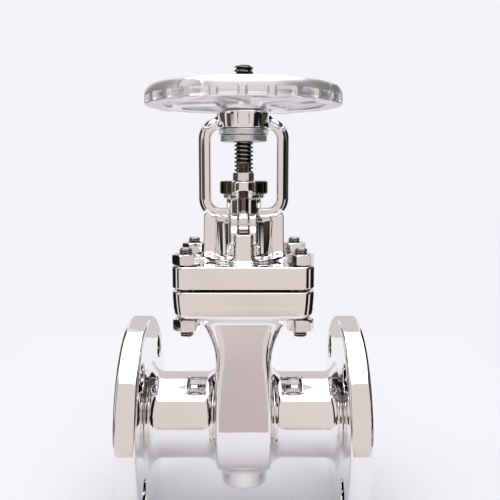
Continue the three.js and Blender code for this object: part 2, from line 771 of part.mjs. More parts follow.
function handwheel() {
  const rim = turnedZ([
    [RIM_INNER_R + CHAMFER, RIM_LOW_Z],
    [WHEEL_R - CHAMFER, RIM_LOW_Z],
    [WHEEL_R, RIM_LOW_Z + CHAMFER],
    [WHEEL_R, RIM_TOP_Z - RIM_ROUND - 1],
    ...arc(WHEEL_R - RIM_ROUND, RIM_TOP_Z - RIM_ROUND, RIM_ROUND, 0, 90, 3),
    [RIM_INNER_R + 4, RIM_TOP_Z - 1.5],
    [RIM_INNER_R, RIM_TOP_Z - 5],
    [RIM_INNER_R, RIM_LOW_Z + CHAMFER],
    [RIM_INNER_R + CHAMFER, RIM_LOW_Z],
  ], 2 * GRIPS);
  const hub = turnedZ([
    [0, WHEEL_HUB_LOW_Z],
    [WHEEL_HUB_R - CHAMFER, WHEEL_HUB_LOW_Z],
    [WHEEL_HUB_R, WHEEL_HUB_LOW_Z + CHAMFER],
    [WHEEL_HUB_R, WHEEL_HUB_TOP_Z - CHAMFER],
    [WHEEL_HUB_R - CHAMFER, WHEEL_HUB_TOP_Z],
    [0, WHEEL_HUB_TOP_Z],
  ]);
  const spokes = [];
  for (let i = 0; i < SPOKES; i += 1) {
    spokes.push(spoke(SPOKE_PHASE + (i * 2 * Math.PI) / SPOKES));
  }
  return cut(
    join(rim, hub, ...spokes),
    barZ(YOKE_NUT_R + GAP, WHEEL_HUB_LOW_Z - 1, WHEEL_HUB_TOP_Z + 1, 0, 0, 32),
    keySeat(GAP),
    ...rimGrips(),
  );
}

function handwheelKey() {
  return keySeat(0);
}

function handwheelWasher() {
  const low = WHEEL_HUB_TOP_Z + 2 * GAP;
  return ringZ(YOKE_NUT_THREAD_R + GAP, WHEEL_WASHER_R, low, low + WHEEL_WASHER_H, 32);
}

function handwheelNut() {
  const low = WHEEL_HUB_TOP_Z + 3 * GAP + WHEEL_WASHER_H;
  return hexNut({ flats: WHEEL_NUT_FLATS, hole: YOKE_NUT_THREAD_R + GAP, low, high: low + WHEEL_NUT_H });
}

// ---------------------------------------------------------------- assembly

const valve = new THREE.Group();
valve.name = 'gate_valve';

/** Makes a piece for the -Y side and its mirror image for the +Y side. */
function frontAndRear(name, solid, material) {
  return [
    piece(`${name}_front`, solid, material),
    piece(`${name}_rear`, solid.mirror([0, 1, 0]), material),
  ];
}

valve.add(piece('body_casting', bodyCasting(), polished));
valve.add(piece('seat_ring_right', seatRing(), hardFacing));
valve.add(piece('seat_ring_left', seatRing().mirror([1, 0, 0]), hardFacing));
valve.add(piece('gate_wedge', gateWedge(), hardFacing));
valve.add(piece('stem', stem(), threaded));
valve.add(piece('bonnet_gasket', bonnetGasket(), graphite));
valve.add(piece('bonnet_yoke', bonnetYoke(), polished));
valve.add(piece('backseat_bushing', backseatBushing(), hardFacing));
for (let n = 0; n < PACKING_COUNT; n += 1) {
  valve.add(piece(`packing_ring_${n + 1}`, packingRing(n), graphite));
}
valve.add(piece('gland_follower', glandFollower(), polished));
valve.add(piece('gland_flange', glandFlange(), polished));
valve.add(...frontAndRear('eyebolt', eyebolt(), polished));
valve.add(...frontAndRear('eyebolt_pin', eyeboltPin(), polished));
valve.add(...frontAndRear('gland_nut', glandNut(), polished));
studPlaces().forEach(([x, y], i) => {
  valve.add(piece(`bonnet_stud_${i + 1}`, bonnetStud(x, y), polished));
  valve.add(piece(`bonnet_nut_upper_${i + 1}`, bonnetNut(x, y, BONNET_TOP_Z + GAP, NUT_TOP_Z), polished));
  valve.add(piece(`bonnet_nut_lower_${i + 1}`, bonnetNut(x, y, NUT_LOW_Z, BODY_PLATE_Z - GAP), polished));
});
valve.add(piece('thrust_washer', thrustWasher(), satin));
valve.add(piece('yoke_nut', yokeNut(), satin));
valve.add(piece('handwheel', handwheel(), alloy));
valve.add(piece('handwheel_key', handwheelKey(), threaded));
valve.add(piece('handwheel_washer', handwheelWasher(), satin));
valve.add(piece('handwheel_nut', handwheelNut(), satin));

export default valve;
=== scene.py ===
"""Looks of a flanged gate valve in mirror-polished stainless steel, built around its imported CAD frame.

Shapes are worked out in millimetres and turned into metres as each mesh is made. Castings are meshed from
distance fields, so that every fillet is a true one. Turned pieces, threaded rods and nuts are laid out
row by row.
"""

import json
import math

import bpy
import numpy as np
from mathutils import Matrix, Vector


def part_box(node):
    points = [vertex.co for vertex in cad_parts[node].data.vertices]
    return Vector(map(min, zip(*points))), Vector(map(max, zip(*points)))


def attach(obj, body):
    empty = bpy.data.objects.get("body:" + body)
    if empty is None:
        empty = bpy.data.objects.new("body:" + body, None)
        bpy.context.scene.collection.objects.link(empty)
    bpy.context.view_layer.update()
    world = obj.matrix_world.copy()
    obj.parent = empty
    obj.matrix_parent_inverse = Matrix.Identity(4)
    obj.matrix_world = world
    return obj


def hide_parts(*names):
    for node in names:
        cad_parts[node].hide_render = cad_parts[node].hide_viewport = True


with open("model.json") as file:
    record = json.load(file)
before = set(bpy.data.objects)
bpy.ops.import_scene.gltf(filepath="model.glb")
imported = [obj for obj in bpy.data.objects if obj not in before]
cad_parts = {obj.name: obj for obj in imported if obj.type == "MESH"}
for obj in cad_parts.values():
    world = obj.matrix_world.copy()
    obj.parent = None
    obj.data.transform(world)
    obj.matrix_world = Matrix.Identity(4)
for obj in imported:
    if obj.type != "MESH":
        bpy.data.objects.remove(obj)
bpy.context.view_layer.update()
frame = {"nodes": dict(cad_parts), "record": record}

MM = 0.001
BODY_OF = {n: b for b, ns in frame["record"]["behaviour"]["bodies"].items() for n in ns}
TURN = 2 * math.pi


# ---------------- places taken from the frame


def box_mm(node):
    """Lowest and highest corner of a CAD node, in millimetres."""
    low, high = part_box(node)
    return np.array(low) / MM, np.array(high) / MM


BODY_LOW, BODY_HIGH = box_mm("body_casting")
BONNET_LOW, BONNET_HIGH = box_mm("bonnet_yoke")
WHEEL_LOW, WHEEL_HIGH = box_mm("handwheel")
STEM_LOW, STEM_HIGH = box_mm("stem")
SEAT_HIGH = box_mm("seat_ring_right")[1]
GATE_HIGH = box_mm("gate_wedge")[1]
GLAND_LOW, GLAND_HIGH = box_mm("gland_flange")
FOLLOWER_LOW, FOLLOWER_HIGH = box_mm("gland_follower")
EYE_LOW, EYE_HIGH = box_mm("eyebolt_front")
PIN_LOW, PIN_HIGH = box_mm("eyebolt_pin_front")
STUD_LOW, STUD_HIGH = box_mm("bonnet_stud_3")
STUD = (STUD_LOW + STUD_HIGH) / 2

GAP = 0.3  # what neighbouring pieces keep between them
FACE_X = BODY_HIGH[0]  # the raised faces
FLANGE_R = -BODY_LOW[2]  # the pipe flanges reach lowest
JOINT_Z = BODY_HIGH[2]  # top of the body's bonnet flange
BONNET_Z = BONNET_LOW[2]  # underside of the bonnet flange
HUB_TOP_Z = BONNET_HIGH[2]
PLATE_X, PLATE_Y = BONNET_HIGH[:2]
BONNET_TOP_Z = box_mm("bonnet_nut_upper_3")[0][2] - GAP
BODY_PLATE_Z = box_mm("bonnet_nut_lower_3")[1][2] + GAP
WHEEL_R = WHEEL_HIGH[0]
BORE_R = 25.4
RAISED_R, RAISED_H = 46.0, 1.6  # the raised faces round the bore
FLANGE_THICK = 16.0
BARREL_R = 32.8
HOLE_OFFSET = 60.35 * math.sqrt(0.5)  # the bolt holes lie on the diagonals of their circle
HOLE_R = 9.5


# ---------------- distance fields


def hypot(*parts):
    """Length of a vector given by its components."""
    return np.sqrt(sum(p * p for p in parts))


def round_join(a, b, radius):
    """Both solids, with a fillet of that radius where they meet."""
    u = np.maximum(radius - a, 0)
    v = np.maximum(radius - b, 0)
    return np.maximum(radius, np.minimum(a, b)) - hypot(u, v)


def round_common(a, b, radius):
    """What two solids share, with its new edge rounded to that radius."""
    u = np.maximum(radius + a, 0)
    v = np.maximum(radius + b, 0)
    return np.minimum(-radius, np.maximum(a, b)) + hypot(u, v)


def round_cut(a, b, radius):
    """The first solid without the second, with its new edge rounded."""
    return round_common(a, -b, radius)


def rounded_box2(u, v, half_u, half_v, radius):
    """Distance to a rectangle with rounded corners, in a plane."""
    qu = np.abs(u) - (half_u - radius)
    qv = np.abs(v) - (half_v - radius)
    return hypot(np.maximum(qu, 0), np.maximum(qv, 0)) + np.minimum(np.maximum(qu, qv), 0) - radius


def slab(value, low, high, shape, radius):
    """A shape kept between two planes, its edges rounded."""
    return round_common(shape, np.maximum(low - value, value - high), radius)


def grid_axis(low, high, step, mirrored):
    """Grid lines from low to high; a mirrored axis starts at its plane of symmetry."""
    start = 0.0 if mirrored else low - 2 * step
    count = int(math.ceil((high + 2 * step - start) / step)) + 1
    return start + step * np.arange(count)


def sample(field, low, high, step, mirror):
    """The field's values on a grid; mirror says for x and y whether one half stands for both."""
    axes = [grid_axis(low[k], high[k], step, k < 2 and mirror[k]) for k in range(3)]
    ys, zs = np.meshgrid(axes[1], axes[2], indexing="ij")
    values = np.stack([field(np.full_like(ys, x), ys, zs) for x in axes[0]])
    for k in range(2):
        if mirror[k]:
            values = np.concatenate([np.flip(values, k), np.take(values, range(1, values.shape[k]), k)], k)
            axes[k] = np.concatenate([-axes[k][:0:-1], axes[k]])
    return values, axes


CORNERS = [(i, j, k) for i in (0, 1) for j in (0, 1) for k in (0, 1)]
EDGES = [(a, b) for a in range(8) for b in range(a + 1, 8)
         if sum(abs(p - q) for p, q in zip(CORNERS[a], CORNERS[b])) == 1]


def net(values, axes):
    """Surface-net vertices and quads of the level zero."""
    inside = values < 0
    shape = np.array(values.shape) - 1
    count = sum(inside[i:i + shape[0], j:j + shape[1], k:k + shape[2]].astype(np.int8)
                for i, j, k in CORNERS)
    cells = np.argwhere((count > 0) & (count < 8))
    corner_values = [values[tuple((cells + c).T)] for c in CORNERS]
    total = np.zeros((len(cells), 3))
    hits = np.zeros(len(cells))
    for a, b in EDGES:
        va, vb = corner_values[a], corner_values[b]
        crossed = (va < 0) != (vb < 0)
        share = np.where(crossed, va / np.where(crossed, va - vb, 1), 0)[:, None]
        start = np.array(CORNERS[a])
        total += np.where(crossed[:, None], start + share * (np.array(CORNERS[b]) - start), 0)
        hits += crossed
    local = total / hits[:, None]
    step = axes[0][1] - axes[0][0]
    points = np.array([axis[0] for axis in axes]) + step * (cells + local)
    index = np.full(shape, -1, np.int64)
    index[tuple(cells.T)] = np.arange(len(cells))
    quads = []
    for axis in range(3):
        others = [k for k in range(3) if k != axis]
        near = np.moveaxis(inside, axis, 0)
        flipped = near[:-1] != near[1:]
        at = np.argwhere(flipped[:, 1:-1, 1:-1]) + [0, 1, 1]
        rising = near[:-1][tuple(at.T)]
        ring = []
        for du, dv in ((-1, -1), (0, -1), (0, 0), (-1, 0)):
            cell = np.zeros_like(at)
            cell[:, axis] = at[:, 0]
            cell[:, others[0]] = at[:, 1] + du
            cell[:, others[1]] = at[:, 2] + dv
            ring.append(index[tuple(cell.T)])
        faces = np.stack(ring, 1)
        forward = rising if axis != 1 else ~rising
        faces[~forward] = faces[~forward][:, ::-1]
        quads.append(faces)
    return points, np.concatenate(quads)


def gradient(field, points, reach=0.05):
    """The field's slope at some points, measured over twice the reach along each axis."""
    slope = np.zeros_like(points)
    for k in range(3):
        ahead, behind = points.copy(), points.copy()
        ahead[:, k] += reach
        behind[:, k] -= reach
        slope[:, k] = (field(*ahead.T) - field(*behind.T)) / (2 * reach)
    return slope


LEAST_SLOPE = 0.05  # squared, so that a flat spot of the field can't send a point far
LONGEST_MOVE = 0.6


def settle(field, points):
    """Moves points onto the field's level zero."""
    for _ in range(2):
        slope = gradient(field, points)
        size = np.maximum((slope * slope).sum(1), LEAST_SLOPE)
        share = np.clip(field(*points.T) / size, -LONGEST_MOVE, LONGEST_MOVE)
        points = points - slope * share[:, None]
    return points


def relax(points, quads, field):
    """Evens out the net by averaging neighbours and settling them again."""
    pairs = np.concatenate([quads[:, [k, (k + 1) % 4]] for k in range(4)])
    degree = np.maximum(np.bincount(pairs[:, 0], minlength=len(points)), 1)[:, None]
    for _ in range(3):
        mean = np.stack([
            np.bincount(pairs[:, 0], points[pairs[:, 1], k], len(points)) for k in range(3)
        ], 1) / degree
        points = settle(field, 0.5 * points + 0.5 * mean)
    return points


def mesh_object(name, points, faces, point_normals=None, corner_normals=None):
    """A Blender object from points in millimetres, shaded smooth."""
    mesh = bpy.data.meshes.new(name)
    mesh.from_pydata((np.asarray(points, float) * MM).tolist(), [], faces)
    mesh.shade_smooth()
    if point_normals is not None:
        mesh.normals_split_custom_set_from_vertices(point_normals.tolist())
    if corner_normals is not None:
        mesh.normals_split_custom_set(corner_normals)
    obj = bpy.data.objects.new(name, mesh)
    bpy.context.scene.collection.objects.link(obj)
    return obj


def cast(name, field, low, high, step, mirror):
    """An object meshed from a distance field, with the field's own normals."""
    values, axes = sample(field, low, high, step, mirror)
    points, quads = net(values, axes)
    points = relax(settle(field, points), quads, field)
    slope = gradient(field, points, 0.1)
    normals = slope / np.maximum(np.linalg.norm(slope, axis=1), 1e-6)[:, None]
    return mesh_object(name, points, quads.tolist(), normals)


# ---------------- the castings' fields

CASING_X = 20.0  # half width of the casing round the gate
CASING_R = 42.0  # its half depth and the radius of its round bottom
EDGE_R, EDGE_GAIN = 2.2, 9.0  # rounding of its upright edges, and what that gains towards the top
EDGE_Z = (-5.0, 76.0)  # between these heights,
EDGE_POWER = 2.2  # faster and faster
FLARE_Z, FLARE_R = 50.4, 47.0  # where its sides start to flare out, and how fast
OVERLAP = 4.0  # how far a shape runs on into the one it joins
CHAMBER_X, CHAMBER_R = 14.0, 34.0
GUIDE_X, GUIDE_Y = 2.0, 26.5  # the two ribs that guide the gate
SEAT_R = 30.3
BOSS_R, BOSS_Z = 17.8, -54.0
FLANGE_EDGE, FLANGE_FILLET = 2.6, 10.0
RAISED_EDGE = 0.5
CASING_FILLET, TOP_FILLET, BOSS_FILLET = 9.5, 5.0, 3.5
BOSS_EDGE = 2.2
PLATE_CORNER = 10.0  # the bonnet flanges in plan
BODY_PLATE_EDGES = (4.0, 1.0)  # their lower and upper edges
BONNET_PLATE_EDGES = (1.2, 1.6)
BODY_PLATE_LEAN = 1.8  # how far the body's leans in at its bottom
STUD_HOLE_R, STUD_HOLE_Z = 5.4, 60.0
NUT_SEAT_R, NUT_SEAT_EDGE = 11.4, 1.0
BORE_EDGE, CHAMBER_EDGE, HOLE_EDGE = 0.8, 0.4, 0.7
RING_PITCH = 1.6  # of the fine turned rings on the raised faces


def pipe_end_field(ax, r):
    """Barrel, pipe flange and raised face, from the distance along and from the flow axis."""
    flange_x = FACE_X - RAISED_H
    half = FLANGE_THICK / 2
    flange = rounded_box2(ax - flange_x + half, r, half, FLANGE_R, FLANGE_EDGE)
    ends = round_join(r - BARREL_R, flange, FLANGE_FILLET)
    raised = round_common(r - RAISED_R, ax - FACE_X, RAISED_EDGE)
    raised = np.maximum(raised, flange_x - half - ax)
    return np.maximum(np.minimum(ends, raised), ax - FACE_X)


def bonnet_plate_field(ax, ay, z, low, high, low_round, high_round, lean=0.0):
    """A bonnet flange: square in plan with round corners, its sides leaning in towards the bottom."""
    inset = lean * np.clip((high - z) / (high - low), 0, 1) ** 2
    plan = rounded_box2(ax + inset, ay, PLATE_X, PLATE_Y, PLATE_CORNER)
    return round_common(round_common(plan, low - z, low_round), z - high, high_round)


def stud_distance(ax, ay):
    """Distance from the nearest stud's axis."""
    return hypot(ax - STUD[0], ay - STUD[1])


def body_field(x, y, z):
    """The valve body: flanged barrel, gate casing, bonnet flange, and everything cut out of them."""
    ax, ay = np.abs(x), np.abs(y)
    r = hypot(y, z)
    across = np.where(z < 0, r, ay)
    inward = np.maximum(CASING_X + FLARE_R - ax, 0)
    sides = np.where(z < FLARE_Z, ax - CASING_X, FLARE_R - hypot(inward, z - FLARE_Z))
    edge = EDGE_R + EDGE_GAIN * np.clip((z - EDGE_Z[0]) / (EDGE_Z[1] - EDGE_Z[0]), 0, 1) ** EDGE_POWER
    casing = np.maximum(round_common(sides, across - CASING_R, edge), z - BODY_PLATE_Z - OVERLAP)
    plate = bonnet_plate_field(ax, ay, z, BODY_PLATE_Z, JOINT_Z, *BODY_PLATE_EDGES, BODY_PLATE_LEAN)
    nut_seats = np.maximum(stud_distance(ax, ay) - NUT_SEAT_R, z - BODY_PLATE_Z)
    top = round_cut(round_join(casing, plate, TOP_FILLET), nut_seats, NUT_SEAT_EDGE)
    boss = round_common(hypot(x, y) - BOSS_R, np.maximum(BOSS_Z - z, z), BOSS_EDGE)
    solid = round_join(top, pipe_end_field(ax, r), CASING_FILLET)
    solid = round_join(solid, boss, BOSS_FILLET)
    chamber = np.maximum(ax - CHAMBER_X, across - CHAMBER_R)
    ribs = np.maximum(np.maximum(ax - GUIDE_X, GUIDE_Y - ay), z - BODY_PLATE_Z)
    room = np.maximum(chamber, -ribs)
    pocket = np.maximum(r - SEAT_R, ax - SEAT_HIGH[0] - GAP)
    solid = round_cut(solid, r - BORE_R, BORE_EDGE)
    solid = round_cut(solid, np.minimum(room, pocket), CHAMBER_EDGE)
    pipe_hole = hypot(ay - HOLE_OFFSET, np.abs(z) - HOLE_OFFSET) - HOLE_R
    pipe_hole = np.maximum(pipe_hole, FACE_X - 2 * FLANGE_THICK - ax)
    stud_hole = np.maximum(stud_distance(ax, ay) - STUD_HOLE_R, STUD_HOLE_Z - z)
    return round_cut(solid, np.minimum(pipe_hole, stud_hole), HOLE_EDGE)


PILLAR_X = (21.0, 29.9)  # the two pillars that carry the yoke, which widen downwards
PILLAR_TOP_Y, PILLAR_TAPER = 3.6, 0.25
NECK_R, NECK_TOP_Z = 21.5, 152.0
PAD_R, PAD_TOP_Z = 30.0, 125.3
BOX_R, BOX_BORE_R = 13.1, 10.3  # the stuffing box
BOX_TOP_Z = FOLLOWER_HIGH[2] - 3.0
HUB_BORE_R = 12.3  # for the yoke nut
WASHER_ROOM_R = 18.6  # for the thrust washer, under the hub
BURIED = 5.0  # how far what stands on the bonnet's flange runs down into it
RIB_X, RIB_Y, RIB_TOP_Z = 6.2, 30.0, 143.5
LUG_X = (3.9, 9.3)  # the cheeks on both sides of an eyebolt
LUG_ROOT = (18.0, 144.5, 9.5, 8.5, 3.0)  # middle, half sizes and corner of a cheek's lower part
EYE_R, PIN_HOLE_R = 6.3, 2.9
EYE_ROOM_R = 7.4
PIN_Y, PIN_Z = 25.0, (PIN_LOW[2] + PIN_HIGH[2]) / 2
ARM_X = (24.6, 33.5)  # inside and outside of the yoke's arms
ARM_Y, ARM_ROUND, ARM_INNER_ROUND = 8.0, 7.4, 1.2
YOKE_CORNER = 12.0
WINDOW_Z = (160.6, 219.0)
HUB_R, HUB_FILLET = 19.0, 4.0
UNDERSIDE = (14.0, 20.0, 5.0)  # half sizes and corner of the hollow over the gate's top
UNDERSIDE_TOP_Z = 109.0
MID_WINDOW_Z = 200.0  # a height in the open space between stuffing box and hub
PLATE_FILLET = 2.5
LUG_FILLET_GAIN, PILLAR_FILLET_GAIN = 4.0, 7.3  # what their fillets gain beside the neck, low down


def yoke_field(ax, ay, z):
    """The loop of the yoke: a bar of D section, flat inside, bent into a ring with round corners."""
    bar = (ARM_X[1] - ARM_X[0]) / 2
    low, high = WINDOW_Z
    ring = rounded_box2(ax, z - (low + high) / 2, ARM_X[0] + bar, (high - low) / 2 + bar, YOKE_CORNER)
    outside = round_common(ring - bar, ay - ARM_Y, ARM_ROUND)
    return np.maximum(outside, round_common(-ring - bar, ay - ARM_Y, ARM_INNER_ROUND))


def lug_field(ax, ay, z):
    """The front and rear ribs, each with two cheeks for its eyebolt."""
    rib_plan = rounded_box2(ax, ay, RIB_X, RIB_Y, 1.8)
    rib = slab(z, BONNET_TOP_Z - BURIED, RIB_TOP_Z, rib_plan, 1.6)
    eye = hypot(ay - PIN_Y, z - PIN_Z) - EYE_R
    root_y, root_z, half_y, half_z, corner = LUG_ROOT
    root = rounded_box2(ay - root_y, z - root_z, half_y, half_z, corner)
    cheek = slab(ax, *LUG_X, round_join(eye, root, 3.0), 1.0)
    return round_join(rib, cheek, 1.5)


def eyebolt_room(ax, ay, z):
    """The slot between the cheeks, open upwards and outwards so that the eyebolt can swing."""
    between = ax - LUG_X[0]
    round_end = np.maximum(between, hypot(ay - PIN_Y, z - PIN_Z) - EYE_ROOM_R)
    above = np.maximum(np.maximum(between, PIN_Y - EYE_ROOM_R - ay), PIN_Z - z)
    outwards = np.maximum(np.maximum(between, PIN_Y - ay), PIN_Z - EYE_ROOM_R - z)
    return np.minimum(round_end, np.minimum(above, outwards))


def bonnet_field(x, y, z):
    """The bonnet: flange, pillars, stuffing box, eyebolt lugs, yoke and hub."""
    ax, ay = np.abs(x), np.abs(y)
    r = hypot(x, y)
    base_z = BONNET_TOP_Z - BURIED
    plate = bonnet_plate_field(ax, ay, z, BONNET_Z, BONNET_TOP_Z, *BONNET_PLATE_EDGES)
    pillar_x = (PILLAR_X[0] + PILLAR_X[1]) / 2
    half_depth = PILLAR_TOP_Y + PILLAR_TAPER * (NECK_TOP_Z - z)
    pillars = rounded_box2(ax - pillar_x, ay, PILLAR_X[1] - pillar_x, half_depth, 1.3)
    pillars = np.maximum(pillars, np.maximum(z - NECK_TOP_Z - OVERLAP, base_z - z))
    foot = slab(z, base_z, NECK_TOP_Z, r - NECK_R, 1.2)
    stuffing_box = slab(z, base_z, BOX_TOP_Z, r - BOX_R, 0.8)
    pad = slab(z, base_z, PAD_TOP_Z, r - PAD_R, 1.8)
    based = round_join(np.minimum(plate, pad), round_join(foot, stuffing_box, 2.0), PLATE_FILLET)
    low_down = np.clip((BONNET_TOP_Z + 10 - z) / 9, 0, 1) * np.clip((r - NECK_R - 0.5) / 4, 0, 1)
    based = round_join(based, lug_field(ax, ay, z), 2.0 + LUG_FILLET_GAIN * low_down)
    based = round_join(based, pillars, 1.2 + PILLAR_FILLET_GAIN * low_down)
    looped = round_join(based, yoke_field(ax, ay, z), 1.0)
    hub_r = HUB_R - 1.0 + np.clip((z - WINDOW_Z[1]) / 10, 0, 1)
    hub = slab(z, WINDOW_Z[1], HUB_TOP_Z, r - hub_r, 1.0)
    solid = round_join(looped, hub, HUB_FILLET)
    nut_seats = np.maximum(stud_distance(ax, ay) - NUT_SEAT_R, BONNET_TOP_Z - z)
    washer_room = np.maximum(r - WASHER_ROOM_R, np.maximum(z - WINDOW_Z[1], MID_WINDOW_Z - z))
    solid = round_cut(solid, np.minimum(nut_seats, washer_room), 0.8)
    pin_hole = hypot(ay - PIN_Y, z - PIN_Z) - PIN_HOLE_R
    underside = np.maximum(rounded_box2(ax, ay, *UNDERSIDE), z - UNDERSIDE_TOP_Z)
    stud_hole = np.maximum(stud_distance(ax, ay) - STUD_HOLE_R, z - BONNET_TOP_Z - BURIED)
    holes = np.minimum(eyebolt_room(ax, ay, z), pin_hole)
    holes = np.minimum(holes, np.minimum(underside, stud_hole))
    box_bore = np.maximum(r - BOX_BORE_R, z - BOX_TOP_Z - BURIED)
    hub_bore = np.maximum(r - HUB_BORE_R, MID_WINDOW_Z - z)
    return round_cut(round_cut(solid, holes, 0.6), np.minimum(box_bore, hub_bore), 0.8)


RIM_HALF, RIM_CROWN = 6.2, 9.5  # half width of the rim's section, and the height of its rounded top
RIM_LOW_Z = 235.4
GRIPS = 24  # finger recesses round the rim
GRIP_HALF, GRIP_R = 7.0, 5.6  # half width of each, and the radius of the scoop that cuts it
GRIP_Z = RIM_LOW_Z + 3.7
SPOKES = 4
SPOKE_PHASE = math.radians(-28)
SPOKE_Z, SPOKE_RISE = 239.6, 1.2
SPOKE_HALF, SPOKE_TAPER = 8.6, 2.6
SPOKE_HALF_H = 3.4
WHEEL_HUB_R, WHEEL_HUB_TOP_Z = 17.0, 246.0
WHEEL_BORE_R = 12.2


def rim_field(r, angle, z):
    """The wheel's rim: flat below, crowned above, with a ring of finger recesses."""
    above = np.maximum(z - WHEEL_HIGH[2] + RIM_CROWN, 0) / RIM_CROWN
    crown = RIM_HALF * (hypot((r - WHEEL_R + RIM_HALF) / RIM_HALF, above) - 1)
    rim = round_common(crown, RIM_LOW_Z - z, 1.8)
    pitch = TURN / GRIPS
    along = r * np.sin(np.mod(angle, pitch) - pitch / 2)
    scoop = hypot(r - WHEEL_R - 2.8, (z - GRIP_Z) * 1.5) - GRIP_R
    return round_cut(rim, round_common(np.abs(along) - GRIP_HALF, scoop, 1.6), 0.7)


def handwheel_field(x, y, z):
    """The handwheel: rim, four spokes and a hub."""
    r = hypot(x, y)
    angle = np.arctan2(y, x)
    quarter = TURN / SPOKES
    local = np.mod(angle - SPOKE_PHASE + quarter / 2, quarter) - quarter / 2
    u, v = r * np.cos(local), r * np.sin(local)
    rise = SPOKE_RISE * np.clip((u - 20) / 40, 0, 1)
    half_width = SPOKE_HALF - SPOKE_TAPER * np.clip((u - 17) / 45, 0, 1)
    spokes = rounded_box2(v / half_width * 7.0, z - SPOKE_Z - rise, 7.0, SPOKE_HALF_H, 3.0)
    spokes = np.maximum(spokes, u - WHEEL_R + OVERLAP)
    hub = slab(z, WHEEL_LOW[2], WHEEL_HUB_TOP_Z, r - WHEEL_HUB_R, 1.2)
    solid = round_join(round_join(spokes, hub, 5.0), rim_field(r, angle, z), 5.5)
    solid = np.maximum(np.maximum(solid, r - WHEEL_R), WHEEL_LOW[2] - z)
    return round_cut(solid, r - WHEEL_BORE_R, 0.6)


# ---------------- the smaller cast pieces' fields

EAR_X = 8.4  # half width of the gland flange's ears
ARCH_R, ARCH_TOP_Z = 15.0, 174.5
SHANK_R = 3.9  # the eyebolts
EYE_OUTER_R = 6.6
EYE_PITCH, EYE_THREAD_H, EYE_THREAD_Z = 1.25, 0.75, 168
LEAN = math.radians(5)  # of the gate's faces
GATE_X = 8.0  # its half thickness at the flow axis
HEAD_ROOM_X, NECK_ROOM_X = 9.9, 7.3  # its slot for the stem's head and neck
HEAD_Z, HEAD_ROOM_HALF = 36.5, 2.8


def gland_flange_field(x, y, z):
    """The gland flange: a thick disc with two ears, one for each eyebolt."""
    ay = np.abs(y)
    r = hypot(x, y)
    low, high = GLAND_LOW[2], GLAND_HIGH[2]
    disc = slab(z, low, high, r - GLAND_HIGH[0], 1.4)
    ears = slab(z, low, high, rounded_box2(x, y, EAR_X, GLAND_HIGH[1], EAR_X - 0.1), 1.2)
    solid = np.maximum(round_join(disc, ears, 2.5), z - high)
    arch = np.maximum(hypot(x, z - ARCH_TOP_Z + ARCH_R) - ARCH_R, FOLLOWER_HIGH[0] + 0.6 - r)
    solid = round_cut(solid, arch, 1.0)
    return round_cut(solid, np.minimum(r - 7.4, hypot(x, ay - PIN_Y) - 4.1), 0.5)


def eyebolt_field(x, y, z):
    """One swing eyebolt about its own shank's axis, with a right-hand vee thread."""
    from_pin = hypot(y, z - PIN_Z)
    eye = slab(x, EYE_LOW[0], EYE_HIGH[0], from_pin - EYE_OUTER_R, 0.9)
    run_out = np.clip((z - EYE_THREAD_Z) / 2, 0, 1)
    phase = np.mod(z / EYE_PITCH - np.arctan2(y, x) / TURN, 1.0)
    cut_in = EYE_THREAD_H * (1 - 2 * np.abs(phase - 0.5)) * run_out
    shank = (hypot(x, y) - SHANK_R + cut_in) * 0.7      # a threaded surface is steeper than a distance
    shank = round_common(shank, np.maximum(z - EYE_HIGH[2], PIN_Z - z), 0.6)
    return round_cut(round_join(eye, shank, 1.5), from_pin - PIN_HOLE_R, 0.3)


def gate_field(x, y, z):
    """The wedge gate: a disc with leaning faces, guide slots, and a slotted boss for the stem's head."""
    ax, ay = np.abs(x), np.abs(y)
    face = (ax - GATE_X) * math.cos(LEAN) - z * math.sin(LEAN)
    disc = round_common(hypot(y, z) - GATE_HIGH[1], face, 0.6)
    boss_half = GATE_HIGH[0]
    neck = np.maximum(np.maximum(ax - GATE_X, ay - boss_half), np.maximum(-z, z - 31))
    boss = slab(z, SEAT_R, GATE_HIGH[2], rounded_box2(x, y, boss_half, boss_half, 2.0), 0.8)
    head_room = np.maximum(ax - HEAD_ROOM_X, np.abs(z - HEAD_Z) - HEAD_ROOM_HALF)
    neck_room = np.maximum(ax - NECK_ROOM_X, HEAD_Z - 0.5 - z)
    guide = np.maximum(ax - GUIDE_X - GAP, GUIDE_Y - GAP - ay)
    solid = np.minimum(round_join(disc, neck, 1.5), boss)
    return round_cut(solid, np.minimum(np.minimum(head_room, neck_room), guide), 0.4)


def seat_field(x, y, z):
    """One seat ring on the +X side, its face leaning with the gate."""
    r = hypot(y, z)
    face = (GATE_X + GAP - x) * math.cos(LEAN) + z * math.sin(LEAN)
    ring = np.maximum(r - SEAT_HIGH[1], BORE_R - r)
    return round_common(ring, np.maximum(face, x - SEAT_HIGH[0]), 0.5)


# ---------------- turned pieces and nuts

ARC_STEPS = 4  # straight pieces in each rounded corner


